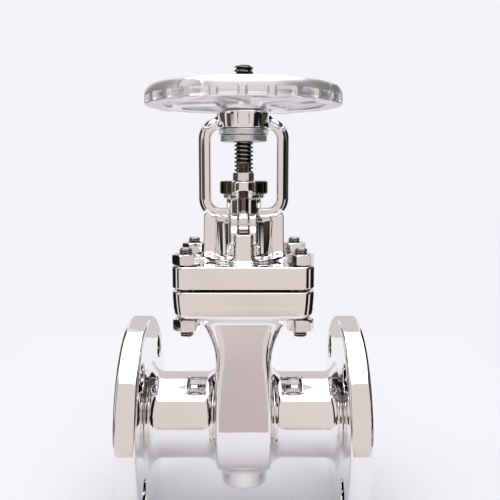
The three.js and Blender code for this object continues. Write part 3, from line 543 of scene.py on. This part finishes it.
def softened(corners):
    """A closed outline as strips: each is a stretch between two points with its two outward normals.

    Corners are (u, v, radius), and run so that the solid lies to the left.
    """
    count = len(corners)
    points = np.array([c[:2] for c in corners], float)
    ends = []
    for i, (_, _, radius) in enumerate(corners):
        before = points[i] - points[i - 1]
        after = points[(i + 1) % count] - points[i]
        before, after = before / hypot(*before), after / hypot(*after)
        normals = [np.array([d[1], -d[0]]) for d in (before, after)]
        if not radius:
            ends.append([(points[i], normals[0]), (points[i], normals[1])])
            continue
        cross = before[0] * after[1] - before[1] * after[0]
        turn = math.atan2(cross, float(before @ after))
        start = points[i] - before * radius * math.tan(abs(turn) / 2)
        side = math.copysign(1.0, turn)
        middle = start - side * radius * normals[0]
        arc = []
        for k in range(ARC_STEPS + 1):
            c, s = math.cos(turn * k / ARC_STEPS), math.sin(turn * k / ARC_STEPS)
            nu, nv = normals[0]
            normal = np.array([c * nu - s * nv, s * nu + c * nv])
            arc.append((middle + side * radius * normal, normal))
        ends.append(arc)
    strips = []
    for i, arc in enumerate(ends):
        if corners[i][2]:
            strips += [(*arc[k], *arc[k + 1]) for k in range(len(arc) - 1)]
        strips.append((*arc[-1], *ends[(i + 1) % count][0]))
    return strips


def strip_object(name, rows, strips):
    """An object from rows of points and strips (row, normals, row, normals), each closed on itself."""
    starts, points, faces, normals = [], [], [], []
    for row in rows:
        single = np.allclose(row, row[0])
        starts.append((len(points), single))
        points += row[:1].tolist() if single else row.tolist()
    size = len(rows[0])
    for a, na, b, nb in strips:
        for k in range(size):
            n = (k + 1) % size
            corners = [(a, k, na), (a, n, na), (b, n, nb), (b, k, nb)]
            corners = [c for i, c in enumerate(corners)
                       if not (starts[c[0]][1] and corners[i - 1][0] == c[0])]
            faces.append([starts[row][0] + (0 if starts[row][1] else i) for row, i, _ in corners])
            normals += [list(values[i]) for _, i, values in corners]
    return mesh_object(name, points, faces, corner_normals=normals)


def turned(name, corners, centre=(0, 0), segments=64, along_x=False):
    """A turned piece about Z, or about X, from the (radius, height, rounding) corners of its section."""
    angle = np.arange(segments) * TURN / segments
    circle = np.stack([np.cos(angle), np.sin(angle)], 1)

    def place(radius, height):
        row = np.column_stack([radius * circle, np.full(segments, float(height))])
        return row[:, [2, 0, 1]] if along_x else row

    offset = np.array([0, *centre]) if along_x else np.array([*centre, 0])
    rows, strips = [], []
    keys = {}
    for pa, na, pb, nb in softened(corners):
        ids = []
        for p in (pa, pb):
            key = tuple(np.round(p, 5))
            if key not in keys:
                keys[key] = len(rows)
                rows.append(place(*p) + offset)
            ids.append(keys[key])
        if max(pa[0], pb[0]) > 1e-6 and ids[0] != ids[1]:
            strips.append((ids[0], place(*na), ids[1], place(*nb)))
    return strip_object(name, rows, strips)


def ring_corners(inner, outer, low, high, edge=0.4):
    """Section of a plain ring."""
    return [(inner, low, edge), (outer, low, edge), (outer, high, edge), (inner, high, edge)]


HEX_CORNER = 0.45  # rounding of a nut's upright edges
HEX_PIECES = 9  # columns of each flat, so that its chamfer can curve
SEAT_SHARE = 0.96  # of a nut's width that its flat ends take up
CONE = math.radians(30)
COUNTERSINK = 0.9


def hex_nut(name, flats, hole, low, high, centre, turn):
    """A hexagonal nut with cone-chamfered faces and a countersunk hole."""
    corner = flats / math.sqrt(3)
    angles = [turn + k * TURN / 6 for k in range(6)]
    plan = [(corner * math.cos(angle), corner * math.sin(angle), HEX_CORNER) for angle in angles]
    outline, normal = [], []
    for pa, na, pb, nb in softened(plan):
        pieces = HEX_PIECES if np.allclose(na, nb) else 1
        for k in range(pieces):
            outline.append(pa + (pb - pa) * k / pieces)
            normal.append(na + (nb - na) * k / pieces)
    outline, normal = np.array(outline), np.array(normal)
    reach = hypot(*outline.T)
    radial = outline / reach[:, None]
    seat = flats / 2 * SEAT_SHARE
    drop = np.maximum(reach - seat, 0) * math.tan(CONE)

    def row(radius, height):
        ring = radial * np.reshape(radius, (-1, 1)) + np.array(centre)
        return np.column_stack([ring, np.broadcast_to(height, len(ring))])

    def lean(plan_normal, degrees):
        tilt = math.radians(degrees)
        return np.column_stack([plan_normal * math.cos(tilt), np.full(len(plan_normal), math.sin(tilt))])

    sides = [  # each row of points, and how the side from it to the next one faces
        (row(hole, low + COUNTERSINK), lean(-radial, -45)),
        (row(hole + COUNTERSINK, low), lean(radial, -90)),
        (row(seat, low), lean(radial, -60)),
        (row(reach, low + drop), lean(normal, 0)),
        (row(reach, high - drop), lean(radial, 60)),
        (row(seat, high), lean(radial, 90)),
        (row(hole + COUNTERSINK, high), lean(-radial, 45)),
        (row(hole, high - COUNTERSINK), lean(-radial, 0)),
    ]
    rows, faces = zip(*sides)
    strips = [(k, face, (k + 1) % len(rows), face) for k, face in enumerate(faces)]
    return strip_object(name, rows, strips)


def thread_cut(angle, height, pitch, depth, crest, root, hand):
    """Depth of a trapezoid thread; crest and root are its flat shares of the pitch."""
    phase = np.abs(np.mod(height / pitch - hand * angle / TURN, 1.0) - 0.5) * 2
    return depth * np.clip((phase - crest) / (1 - crest - root), 0, 1)


def rod(name, heights, radius_at, centre, segments):
    """A round bar along Z whose radius depends on angle and height, with flat ends."""
    angle = np.arange(segments) * TURN / segments
    heights = np.asarray(heights, float)
    a, h = np.meshgrid(angle, heights)
    radius = radius_at(a, h)
    step = 1e-3
    per_angle = (radius_at(a + step, h) - radius_at(a - step, h)) / (2 * step)
    per_height = (radius_at(a, h + step) - radius_at(a, h - step)) / (2 * step)
    cos, sin = np.cos(a), np.sin(a)
    normal = np.stack([
        cos + per_angle / radius * sin,
        sin - per_angle / radius * cos,
        -np.clip(per_height, -4, 4),
    ], 2)
    normal /= np.linalg.norm(normal, axis=2)[:, :, None]
    points = np.stack([centre[0] + radius * cos, centre[1] + radius * sin, h], 2)
    ends = [np.tile([[centre[0], centre[1], heights[k]]], (segments, 1)) for k in (0, -1)]
    rows = [ends[0], *points, ends[1]]
    down, up = np.tile([[0, 0, -1]], (segments, 1)), np.tile([[0, 0, 1]], (segments, 1))
    strips = [(0, down, 1, down)]
    strips += [(k + 1, normal[k], k + 2, normal[k + 1]) for k in range(len(heights) - 1)]
    strips.append((len(heights), up, len(heights) + 1, up))
    return strip_object(name, rows, strips)


# ---------------- materials


class Nodes:
    """A small helper that adds nodes to a node tree and links them."""

    def __init__(self, tree):
        self.tree = tree
        tree.nodes.clear()

    def add(self, kind, inputs=None, **settings):
        """A node with its settings, and its inputs linked or set."""
        node = self.tree.nodes.new(kind)
        for key, value in settings.items():
            setattr(node, key, value)
        for key, value in (inputs or {}).items():
            if isinstance(value, bpy.types.NodeSocket):
                self.tree.links.new(value, node.inputs[key])
            else:
                node.inputs[key].default_value = value
        return node

    def math(self, operation, *values):
        """The result of one sum."""
        return self.add("ShaderNodeMath", dict(enumerate(values)), operation=operation).outputs[0]

    def split(self, vector):
        """A vector's X, Y and Z."""
        return self.add("ShaderNodeSeparateXYZ", {"Vector": vector}).outputs

    def length(self, u, v):
        """Length of a vector in a plane."""
        flat = self.add("ShaderNodeCombineXYZ", {"X": u, "Y": v}).outputs[0]
        return self.add("ShaderNodeVectorMath", {0: flat}, operation="LENGTH").outputs["Value"]

    def noise(self, where, scale, detail):
        """A cloudy pattern."""
        inputs = {"Vector": where, "Scale": scale, "Detail": detail}
        return self.add("ShaderNodeTexNoise", inputs).outputs["Fac"]

    def ramp(self, value, stops):
        """A colour from a row of (place, colour) stops."""
        node = self.add("ShaderNodeValToRGB", {"Fac": value})
        elements = node.color_ramp.elements
        while len(elements) < len(stops):
            elements.new(1.0)
        for element, (position, colour) in zip(elements, stops):
            element.position = position
            element.color = (*colour, 1)
        return node.outputs["Color"]

    def map_range(self, value, low, high, start=0.0, end=1.0):
        """Moves a value from the span start..end to the span low..high."""
        spans = {"Value": value, "From Min": start, "From Max": end, "To Min": low, "To Max": high}
        return self.add("ShaderNodeMapRange", spans).outputs["Result"]

    def rises(self, value, start, end):
        """0 up to start and 1 from end on."""
        return self.map_range(value, 0.0, 1.0, start, end)

    def mix(self, share, first, second):
        """A blend of two colours."""
        node = self.add("ShaderNodeMix", data_type="RGBA")
        for socket, value in zip((node.inputs[0], node.inputs[6], node.inputs[7]), (share, first, second)):
            if isinstance(value, bpy.types.NodeSocket):
                self.tree.links.new(value, socket)
            else:
                socket.default_value = value
        return node.outputs[2]

    def bump(self, height, distance, under=None):
        """A bumped normal, on top of another one if that is given."""
        inputs = {"Height": height, "Strength": 1.0, "Distance": distance}
        if under:
            inputs["Normal"] = under
        return self.add("ShaderNodeBump", inputs).outputs["Normal"]

    def principled(self, inputs):
        """The material's surface."""
        shader = self.add("ShaderNodeBsdfPrincipled", inputs)
        self.add("ShaderNodeOutputMaterial", {"Surface": shader.outputs[0]})


def new_material(name):
    """A material and the helper for its nodes."""
    material = bpy.data.materials.new(name)
    material.use_nodes = True
    return material, Nodes(material.node_tree)


CLOUD_SCALE = 25.0  # of the slow changes of colour over a piece


def metal(name, dark, light, roughness, grain=900.0, grain_depth=0.0, wave=60.0, extra=None, metallic=1.0):
    """A metal whose colour, roughness and surface all vary a little, as polished and turned metal does.

    The grain is the scale of its fine marks and the wave that of its slow unevenness. A function given
    as extra may change the colour and the roughness before they reach the shader.
    """
    material, nodes = new_material(name)
    where = nodes.add("ShaderNodeTexCoord").outputs["Object"]
    cloud = nodes.noise(where, CLOUD_SCALE, 4.0)
    fine = nodes.noise(where, grain, 3.0)
    swell = nodes.noise(where, wave, 1.0)
    colour = nodes.ramp(cloud, [(0.3, dark), (0.7, light)])
    rough = nodes.map_range(nodes.math("ADD", cloud, fine), *roughness, 0.7, 1.3)
    if extra:
        colour, rough = extra(nodes, where, colour, rough)
    normal = nodes.bump(swell, 1e-5)
    if grain_depth:
        normal = nodes.bump(fine, grain_depth, normal)
    nodes.principled({"Base Color": colour, "Metallic": metallic, "Roughness": rough, "Normal": normal})
    return material


# painted shade for the stem's thread roots and flanks
STEM_ROOT_SHADE = (0.02, 0.018, 0.016, 1)
# painted shade for the bonnet studs' thread roots
STUD_ROOT_SHADE = (0.05, 0.045, 0.045, 1)
# painted shade for the eyebolts' shanks
SHANK_SHADE = (0.16, 0.135, 0.13, 1)
# painted dark reflection for the gland flange's round edge
DARK_EDGE_REFLECTION = (0.115, 0.115, 0.085, 1)
RING_DARK, RING_LIGHT = (0.34, 0.33, 0.33, 1), (0.66, 0.645, 0.64, 1)
BORE_GREY = (0.50, 0.48, 0.47, 1)
TURNED_ROUGHNESS = 0.26  # what the turned faces and the bore have more than the polish


def shaded_stem_roots(nodes, where, colour, rough):
    """Painted shade darkening the roots and flanks of the stem's thread, found by the distance from the
    stem's axis.
    """
    x, y, _ = nodes.split(where)
    return nodes.mix(nodes.rises(nodes.length(x, y), 6.5 * MM, 7.1 * MM), STEM_ROOT_SHADE, colour), rough


def serrated_faces(nodes, where, colour, rough):
    """The body's raised faces, turned with fine rings for the gasket, and its duller bore."""
    x, y, z = nodes.split(where)
    radius = nodes.length(y, z)
    face = nodes.rises(nodes.math("ABSOLUTE", x), (FACE_X - 0.4) * MM, (FACE_X - 0.2) * MM)
    inside = nodes.map_range(radius, 1.0, 0.0, (BORE_R + 0.2) * MM, (BORE_R + 0.5) * MM)
    wave = nodes.math("SINE", nodes.math("MULTIPLY", radius, TURN / (RING_PITCH * MM)))
    rings = nodes.mix(nodes.rises(wave, -0.6, 0.6), RING_DARK, RING_LIGHT)
    colour = nodes.mix(inside, nodes.mix(face, colour, rings), BORE_GREY)
    dull = nodes.math("MAXIMUM", face, inside)
    return colour, nodes.math("MULTIPLY_ADD", dull, TURNED_ROUGHNESS, rough)


def shaded_stud_roots(nodes, where, colour, rough):
    """Painted shade darkening the thread roots of the bonnet studs, found by the distance from each stud's
    axis.
    """
    x, y, _ = nodes.split(where)
    sides = [nodes.math("SUBTRACT", nodes.math("ABSOLUTE", value), place * MM)
             for value, place in ((x, STUD[0]), (y, STUD[1]))]
    radius = nodes.length(*sides)
    crests = nodes.rises(radius, 4.3 * MM, 4.9 * MM)
    ends = nodes.map_range(radius, 1.0, 0.0, 3.4 * MM, 4.0 * MM)
    return nodes.mix(nodes.math("MAXIMUM", crests, ends), STUD_ROOT_SHADE, colour), rough


def dark_edge(nodes, where, colour, rough):
    """The gland flange's round edge beside its ears, darkened with a painted dark reflection."""
    out = nodes.math("ABSOLUTE", nodes.split(where)["X"])
    edge = nodes.rises(out, (EAR_X - 0.4) * MM, (EAR_X + 0.6) * MM)
    return nodes.mix(edge, colour, DARK_EDGE_REFLECTION), rough


def shaded_shank(nodes, where, colour, rough):
    """An eyebolt's shank, darkened with painted shade above its bright eye."""
    shank = nodes.rises(nodes.split(where)["Z"], (PIN_Z + 6.5) * MM, (PIN_Z + 9.0) * MM)
    return nodes.mix(shank, colour, SHANK_SHADE), rough


POLISHED = (0.89, 0.875, 0.87), (0.95, 0.935, 0.93), (0.01, 0.035)
BRIGHT = (0.80, 0.78, 0.77), (0.90, 0.88, 0.87)
FINISHES = {
    "polished_steel": POLISHED,
    "fastener_steel": (*BRIGHT, (0.03, 0.09)),
    "satin_steel": ((0.68, 0.68, 0.69), (0.80, 0.80, 0.81), (0.30, 0.42), 900.0, 2e-6),
    "stem_steel": ((0.34, 0.33, 0.32), (0.50, 0.48, 0.47), (0.12, 0.24), 900.0, 1e-6, 60.0, shaded_stem_roots),
    "wheel_alloy": ((0.91, 0.90, 0.94), (0.97, 0.96, 0.99), (0.29, 0.35), 700.0, 0.0, 40.0, None, 0.75),
    "graphite": ((0.03, 0.03, 0.033), (0.07, 0.07, 0.075), (0.55, 0.75), 900.0, 2e-5),
    "hard_facing": ((0.60, 0.58, 0.56), (0.72, 0.70, 0.68), (0.10, 0.22), 900.0, 1e-6),
    "stud_steel": ((0.72, 0.70, 0.70), (0.86, 0.84, 0.83), (0.06, 0.14), 900.0, 0.0, 60.0, shaded_stud_roots),
    "body_steel": (*POLISHED, 900.0, 0.0, 60.0, serrated_faces),
    "eyebolt_steel": (*BRIGHT, (0.05, 0.12), 900.0, 0.0, 60.0, shaded_shank),
    "gland_steel": ((0.86, 0.84, 0.83), (0.93, 0.915, 0.91), (0.02, 0.06), 900.0, 0.0, 60.0, dark_edge),
}
MATERIALS = {name: metal(name, *values) for name, values in FINISHES.items()}
SLOT_OF = {s["node"]: s["material_slot"] for s in frame["record"]["subparts"]}


def stands_for(obj, node, finish=None):
    """Gives a new piece the body of the CAD node that it replaces and the material of that node's slot, or
    the finish given, and hides the node.
    """
    slot = SLOT_OF[node]
    obj.data.materials.clear()
    obj.data.materials.append(MATERIALS[finish or slot])
    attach(obj, BODY_OF[node])
    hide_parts(node)


# ---------------- making every piece

BODY_STEP, BONNET_STEP, WHEEL_STEP = 1.55, 0.85, 0.95  # the nets' pitches
SMALL_STEP, INNER_STEP, FINE_STEP = 0.6, 1.0, 0.36
PIN_R = 2.6
GLAND_NUT_FLATS, GLAND_NUT_HOLE_R = 13.0, 3.5
STUD_R, STUD_PITCH, STUD_THREAD_H = 4.9, 1.5, 0.8
NUT_FLATS, NUT_HOLE_R, NUT_TURN = 17.0, 5.0, math.radians(10)
STEM_R, HEAD_R, COLLAR_R, TIP_R = 7.0, 9.6, 10.0, 5.5
HEAD_H, COLLAR_Z = 5.0, 49.5
STEM_PITCH, STEM_THREAD_H, STEM_THREAD_Z = 3.0, 1.6, 165.0
STEM_HOLE_R = 7.3  # what the stem runs through
FOLLOWER_SLEEVE_R, FOLLOWER_COLLAR_R, FOLLOWER_COLLAR_H = 10.0, 15.4, 2.7
YOKE_NUT_R, YOKE_NUT_MOUTH_R = 11.9, 8.5
WHEEL_THREAD_R = 10.0  # the yoke nut's upper end, for the wheel's nut
WHEEL_NUT_FLATS = 27.0


def left_seat_field(x, y, z):
    """The other seat ring."""
    return seat_field(-x, y, z)


def make_castings():
    """What is cast: body, bonnet with its yoke, handwheel and gland flange, and the gate with its seats."""
    both, neither, depth = (True, True), (False, False), (False, True)
    for name, field, node, step, mirror, finish in (
        ("valve_body", body_field, "body_casting", BODY_STEP, both, "body_steel"),
        ("bonnet_and_yoke", bonnet_field, "bonnet_yoke", BONNET_STEP, both, None),
        ("spoked_handwheel", handwheel_field, "handwheel", WHEEL_STEP, neither, None),
        ("gland_plate", gland_flange_field, "gland_flange", SMALL_STEP, both, "gland_steel"),
        ("wedge", gate_field, "gate_wedge", INNER_STEP, both, None),
        ("seat_right", seat_field, "seat_ring_right", INNER_STEP, depth, None),
        ("seat_left", left_seat_field, "seat_ring_left", INNER_STEP, depth, None),
    ):
        stands_for(cast(name, field, *box_mm(node), step, mirror), node, finish)


def make_nut(name, node, flats, hole, centre, turn=0.0):
    """A nut of its CAD node's height."""
    low, high = box_mm(node)
    stands_for(hex_nut(name, flats, hole, low[2], high[2], centre, turn), node)


def make_eyebolts():
    """The two swing eyebolts with their pins and gland nuts."""
    low = EYE_LOW * [1, 0, 1] + [0, -EYE_OUTER_R, 0]
    high = EYE_HIGH * [1, 0, 1] + [0, EYE_OUTER_R, 0]
    left, right = PIN_LOW[0], PIN_HIGH[0]
    pin_corners = [(0, left, 0), (PIN_R, left, 0.5), (PIN_R, right, 0.5), (0, right, 0)]
    for side, sign in (("front", -1), ("rear", 1)):
        bolt = cast(f"swing_bolt_{side}", eyebolt_field, low, high, FINE_STEP, (False, False))
        bolt.data.transform(Matrix.Translation((0, sign * PIN_Y * MM, 0)))
        stands_for(bolt, f"eyebolt_{side}", "eyebolt_steel")
        pin = turned(f"swing_pin_{side}", pin_corners, (sign * PIN_Y, PIN_Z), 32, along_x=True)
        stands_for(pin, f"eyebolt_pin_{side}")
        make_nut(f"gland_hex_{side}", f"gland_nut_{side}", GLAND_NUT_FLATS, GLAND_NUT_HOLE_R,
                 (0, sign * PIN_Y))


def make_bolting():
    """Four studs, each with a nut above the bonnet flange and one below the body's."""

    def radius_at(angle, height):
        end = np.minimum(height - STUD_LOW[2], STUD_HIGH[2] - height)
        plain_r = STUD_R - np.clip(1.0 - end, 0, 1)
        return plain_r - thread_cut(angle, height, STUD_PITCH, STUD_THREAD_H, 0.1, 0.15, 1)

    heights = np.append(np.arange(STUD_LOW[2], STUD_HIGH[2] - 0.1, 0.25), STUD_HIGH[2])
    for i in range(1, 5):
        x, y = sum(box_mm(f"bonnet_stud_{i}"))[:2] / 2
        stands_for(rod(f"stud_{i}", heights, radius_at, (x, y), 32), f"bonnet_stud_{i}", "stud_steel")
        for place in ("upper", "lower"):
            make_nut(f"hex_{place}_{i}", f"bonnet_nut_{place}_{i}", NUT_FLATS, NUT_HOLE_R, (x, y), NUT_TURN)


def make_stem():
    """The stem: head, back-seat collar, smooth shank and a left-hand trapezoid thread up to its tip."""
    low, tip = STEM_LOW[2], STEM_HIGH[2]
    head_top, near = low + HEAD_H, 0.01
    profile = [
        (low, HEAD_R - 0.5), (low + 0.5, HEAD_R), (head_top - 0.5, HEAD_R), (head_top, HEAD_R - 0.5),
        (head_top + near, STEM_R), (COLLAR_Z - near, STEM_R), (COLLAR_Z, COLLAR_R - 0.4),
        (COLLAR_Z + 0.4, COLLAR_R), (COLLAR_Z + 2, COLLAR_R), (COLLAR_Z + 5, STEM_R),
        (tip - 1.5, STEM_R), (tip, TIP_R),
    ]
    levels, radii = zip(*profile)
    smooth = [*levels[:10], *np.arange(58.0, STEM_THREAD_Z, 12.0)]
    heights = np.array([*smooth, *np.arange(STEM_THREAD_Z, tip, 0.16), tip])

    def radius_at(angle, height):
        run_out = np.clip((height - STEM_THREAD_Z) / 3, 0, 1)
        cut_in = thread_cut(angle, height, STEM_PITCH, STEM_THREAD_H, 0.34, 0.3, -1)
        return np.interp(height, levels, radii) - run_out * cut_in

    stands_for(rod("threaded_stem", heights, radius_at, (0, 0), 72), "stem")


def make_drive():
    """The gland follower, thrust washer, yoke nut, and what fastens the wheel."""
    low, high = FOLLOWER_LOW[2], FOLLOWER_HIGH[2]
    collar = high - FOLLOWER_COLLAR_H
    follower = [
        (STEM_HOLE_R, low, 0.4), (FOLLOWER_SLEEVE_R, low, 0.5), (FOLLOWER_SLEEVE_R, collar, 0),
        (FOLLOWER_COLLAR_R, collar, 0.6), (FOLLOWER_COLLAR_R, high, 0.6), (STEM_HOLE_R, high, 0.5),
    ]
    stands_for(turned("follower", follower), "gland_follower")
    thrust_low, thrust_high = box_mm("thrust_washer")
    washer = ring_corners(WHEEL_BORE_R, thrust_high[0], thrust_low[2], thrust_high[2], 0.5)
    stands_for(turned("yoke_washer", washer), "thrust_washer")
    washer_low, washer_high = box_mm("handwheel_washer")
    low, high = box_mm("yoke_nut")
    flange_top, shoulder = thrust_low[2] - GAP, washer_low[2] - GAP
    nut = [
        (YOKE_NUT_MOUTH_R, low[2], 0.4), (high[0], low[2], 0.8), (high[0], flange_top, 0.8),
        (YOKE_NUT_R, flange_top, 0), (YOKE_NUT_R, shoulder, 0.4), (WHEEL_THREAD_R, shoulder, 0),
        (WHEEL_THREAD_R, high[2], 0.6), (STEM_HOLE_R, high[2], 0.5), (STEM_HOLE_R, low[2] + 2, 0.2),
    ]
    stands_for(turned("stem_nut", nut), "yoke_nut")
    hole = WHEEL_THREAD_R + GAP
    washer = ring_corners(hole, washer_high[0], washer_low[2], washer_high[2])
    stands_for(turned("wheel_washer", washer), "handwheel_washer")
    make_nut("wheel_nut", "handwheel_nut", WHEEL_NUT_FLATS, hole, (0, 0))


make_castings()
make_eyebolts()
make_bolting()
make_stem()
make_drive()
for node, obj in frame["nodes"].items():
    if not obj.hide_render:
        obj.data.materials.clear()
        obj.data.materials.append(MATERIALS[SLOT_OF[node]])


# ---------------- studio

WHITE, LIT, GREY = (0.86, 0.85, 0.88), (0.78, 0.76, 0.76), (0.22, 0.22, 0.22)
ROOM, REAR = (0.76, 0.675, 0.655), (0.66, 0.61, 0.61)
BLACK, BROWN, OLIVE = (0.010, 0.010, 0.012), (0.085, 0.065, 0.06), (0.055, 0.055, 0.035)
WALLS = [  # each class of elevation, from below: where each zone starts, in degrees
    [(-180, REAR), (-165, WHITE), (-153, BLACK), (-92, LIT), (-78, BLACK), (-61, ROOM),
     (46, BLACK), (71, LIT), (86, BLACK), (144, WHITE), (165, REAR)],
    [(-180, REAR), (-165, WHITE), (-150, BROWN), (-93, LIT), (-83, BROWN), (-43, ROOM),
     (47, BLACK), (88, OLIVE), (146, WHITE), (165, REAR)],
    [(-180, REAR), (-165, WHITE), (-148, BROWN), (-89, LIT), (-59, BLACK), (-45, ROOM),
     (52, BLACK), (80, GREY), (96, BLACK), (148, WHITE), (165, REAR)],
]
WALL_STEPS = (-6, 3)  # elevations between the classes, in degrees
SOFT_TURN = 0.003  # softness of the walls' upright edges, as a share of the whole turn
CANOPY_FROM = 53  # elevation of the white canopy's edge
CANOPY = (2.4, 2.4, 2.42, 1)
SHADE_FROM = math.radians(22)  # a dim patch in front, this far below the horizon,
SHADE_R = math.radians(11)  # this wide
SHADE = (0.33, 0.27, 0.28, 1)
SHADE_SHARE = 0.45  # and this strong in its middle
BACKDROP = (0.905, 0.897, 0.947, 1)
TABLE = (0.691, 0.705, 0.737, 1)
TABLE_GLOW, GLOW_COLOUR = 0.125, (0.94, 0.90, 0.98, 1)


def make_world():
    """Plain soft studio light: a white canopy, a pale warm room in front, and dark flags at the sides."""
    world = bpy.data.worlds.new("studio")
    bpy.context.scene.world = world
    world.use_nodes = True
    nodes = Nodes(world.node_tree)
    direction = nodes.add("ShaderNodeTexCoord").outputs["Generated"]
    x, y, z = nodes.split(direction)
    azimuth = nodes.math("ARCTAN2", x, nodes.math("MULTIPLY", y, -1.0))
    turn = nodes.rises(azimuth, -math.pi, math.pi)
    height = nodes.rises(z, -1.0, 1.0)

    def walls(zones):
        """A ring of plain zones with soft edges between them."""
        stops = [(0.0, zones[0][1])]
        for (_, before), (start, colour) in zip(zones, zones[1:]):
            place = (start + 180) / 360
            stops += [(place - SOFT_TURN, before), (place + SOFT_TURN, colour)]
        return nodes.ramp(turn, stops)

    def above(elevation, soft=0.01):
        """0 below an elevation in degrees and 1 above it."""
        at = (math.sin(math.radians(elevation)) + 1) / 2
        return nodes.rises(height, at - soft, at + soft)

    around_it = walls(WALLS[0])
    for elevation, zones in zip(WALL_STEPS, WALLS[1:]):
        around_it = nodes.mix(above(elevation), around_it, walls(zones))
    middle = (0.0, -math.cos(SHADE_FROM), -math.sin(SHADE_FROM))
    near = nodes.add("ShaderNodeVectorMath", {0: direction, 1: middle}, operation="DOT_PRODUCT")
    shade = nodes.map_range(near.outputs["Value"], 0.0, SHADE_SHARE, math.cos(SHADE_R), 1.0)
    around_it = nodes.mix(shade, around_it, SHADE)
    full = nodes.mix(above(CANOPY_FROM, 0.004), around_it, CANOPY)
    light, seen = (nodes.add("ShaderNodeBackground", {"Color": colour}) for colour in (full, BACKDROP))
    camera_ray = nodes.add("ShaderNodeLightPath").outputs["Is Camera Ray"]
    both = nodes.add("ShaderNodeMixShader", {"Fac": camera_ray, 1: light.outputs[0], 2: seen.outputs[0]})
    nodes.add("ShaderNodeOutputWorld", {"Surface": both.outputs[0]})


def pale(name):
    """A plain pale surface for the studio, with a little light of its own to soften the shadows."""
    material, nodes = new_material(name)
    glow = {"Emission Color": GLOW_COLOUR, "Emission Strength": TABLE_GLOW}
    nodes.principled({"Base Color": TABLE, "Roughness": 0.6, **glow})
    material.cycles.emission_sampling = "NONE"
    return material


def make_floor():
    """A pale floor under the pipe flanges, and the smaller table top that the metal mirrors."""
    for name, low, high, z, mirrored in (
        ("floor", (-3000, -3000), (3000, 3000), -FLANGE_R, False),
        ("table_mirrored", (-330, -230), (330, 520), -FLANGE_R + 0.1, True),
    ):
        corners = [(low[0], low[1], z), (high[0], low[1], z), (high[0], high[1], z), (low[0], high[1], z)]
        floor = mesh_object(name, corners, [(0, 1, 2, 3)])
        floor.data.materials.append(pale(name))
        floor.visible_glossy = mirrored
        floor.visible_camera = floor.visible_diffuse = floor.visible_shadow = not mirrored


def make_camera():
    """The photographer's place: level with the gland, in front, looking a little down."""
    data = bpy.data.cameras.new("camera")
    data.sensor_width = 36
    data.lens = 47.094
    data.clip_start = 0.01
    camera = bpy.data.objects.new("camera", data)
    camera.location = (0.00465, -0.49107, 0.19041)
    camera.rotation_euler = (math.radians(90 - 7.143), 0, 0)
    bpy.context.scene.collection.objects.link(camera)
    bpy.context.scene.camera = camera


make_world()
make_floor()
make_camera()
bpy.context.scene.view_settings.view_transform = "Standard"
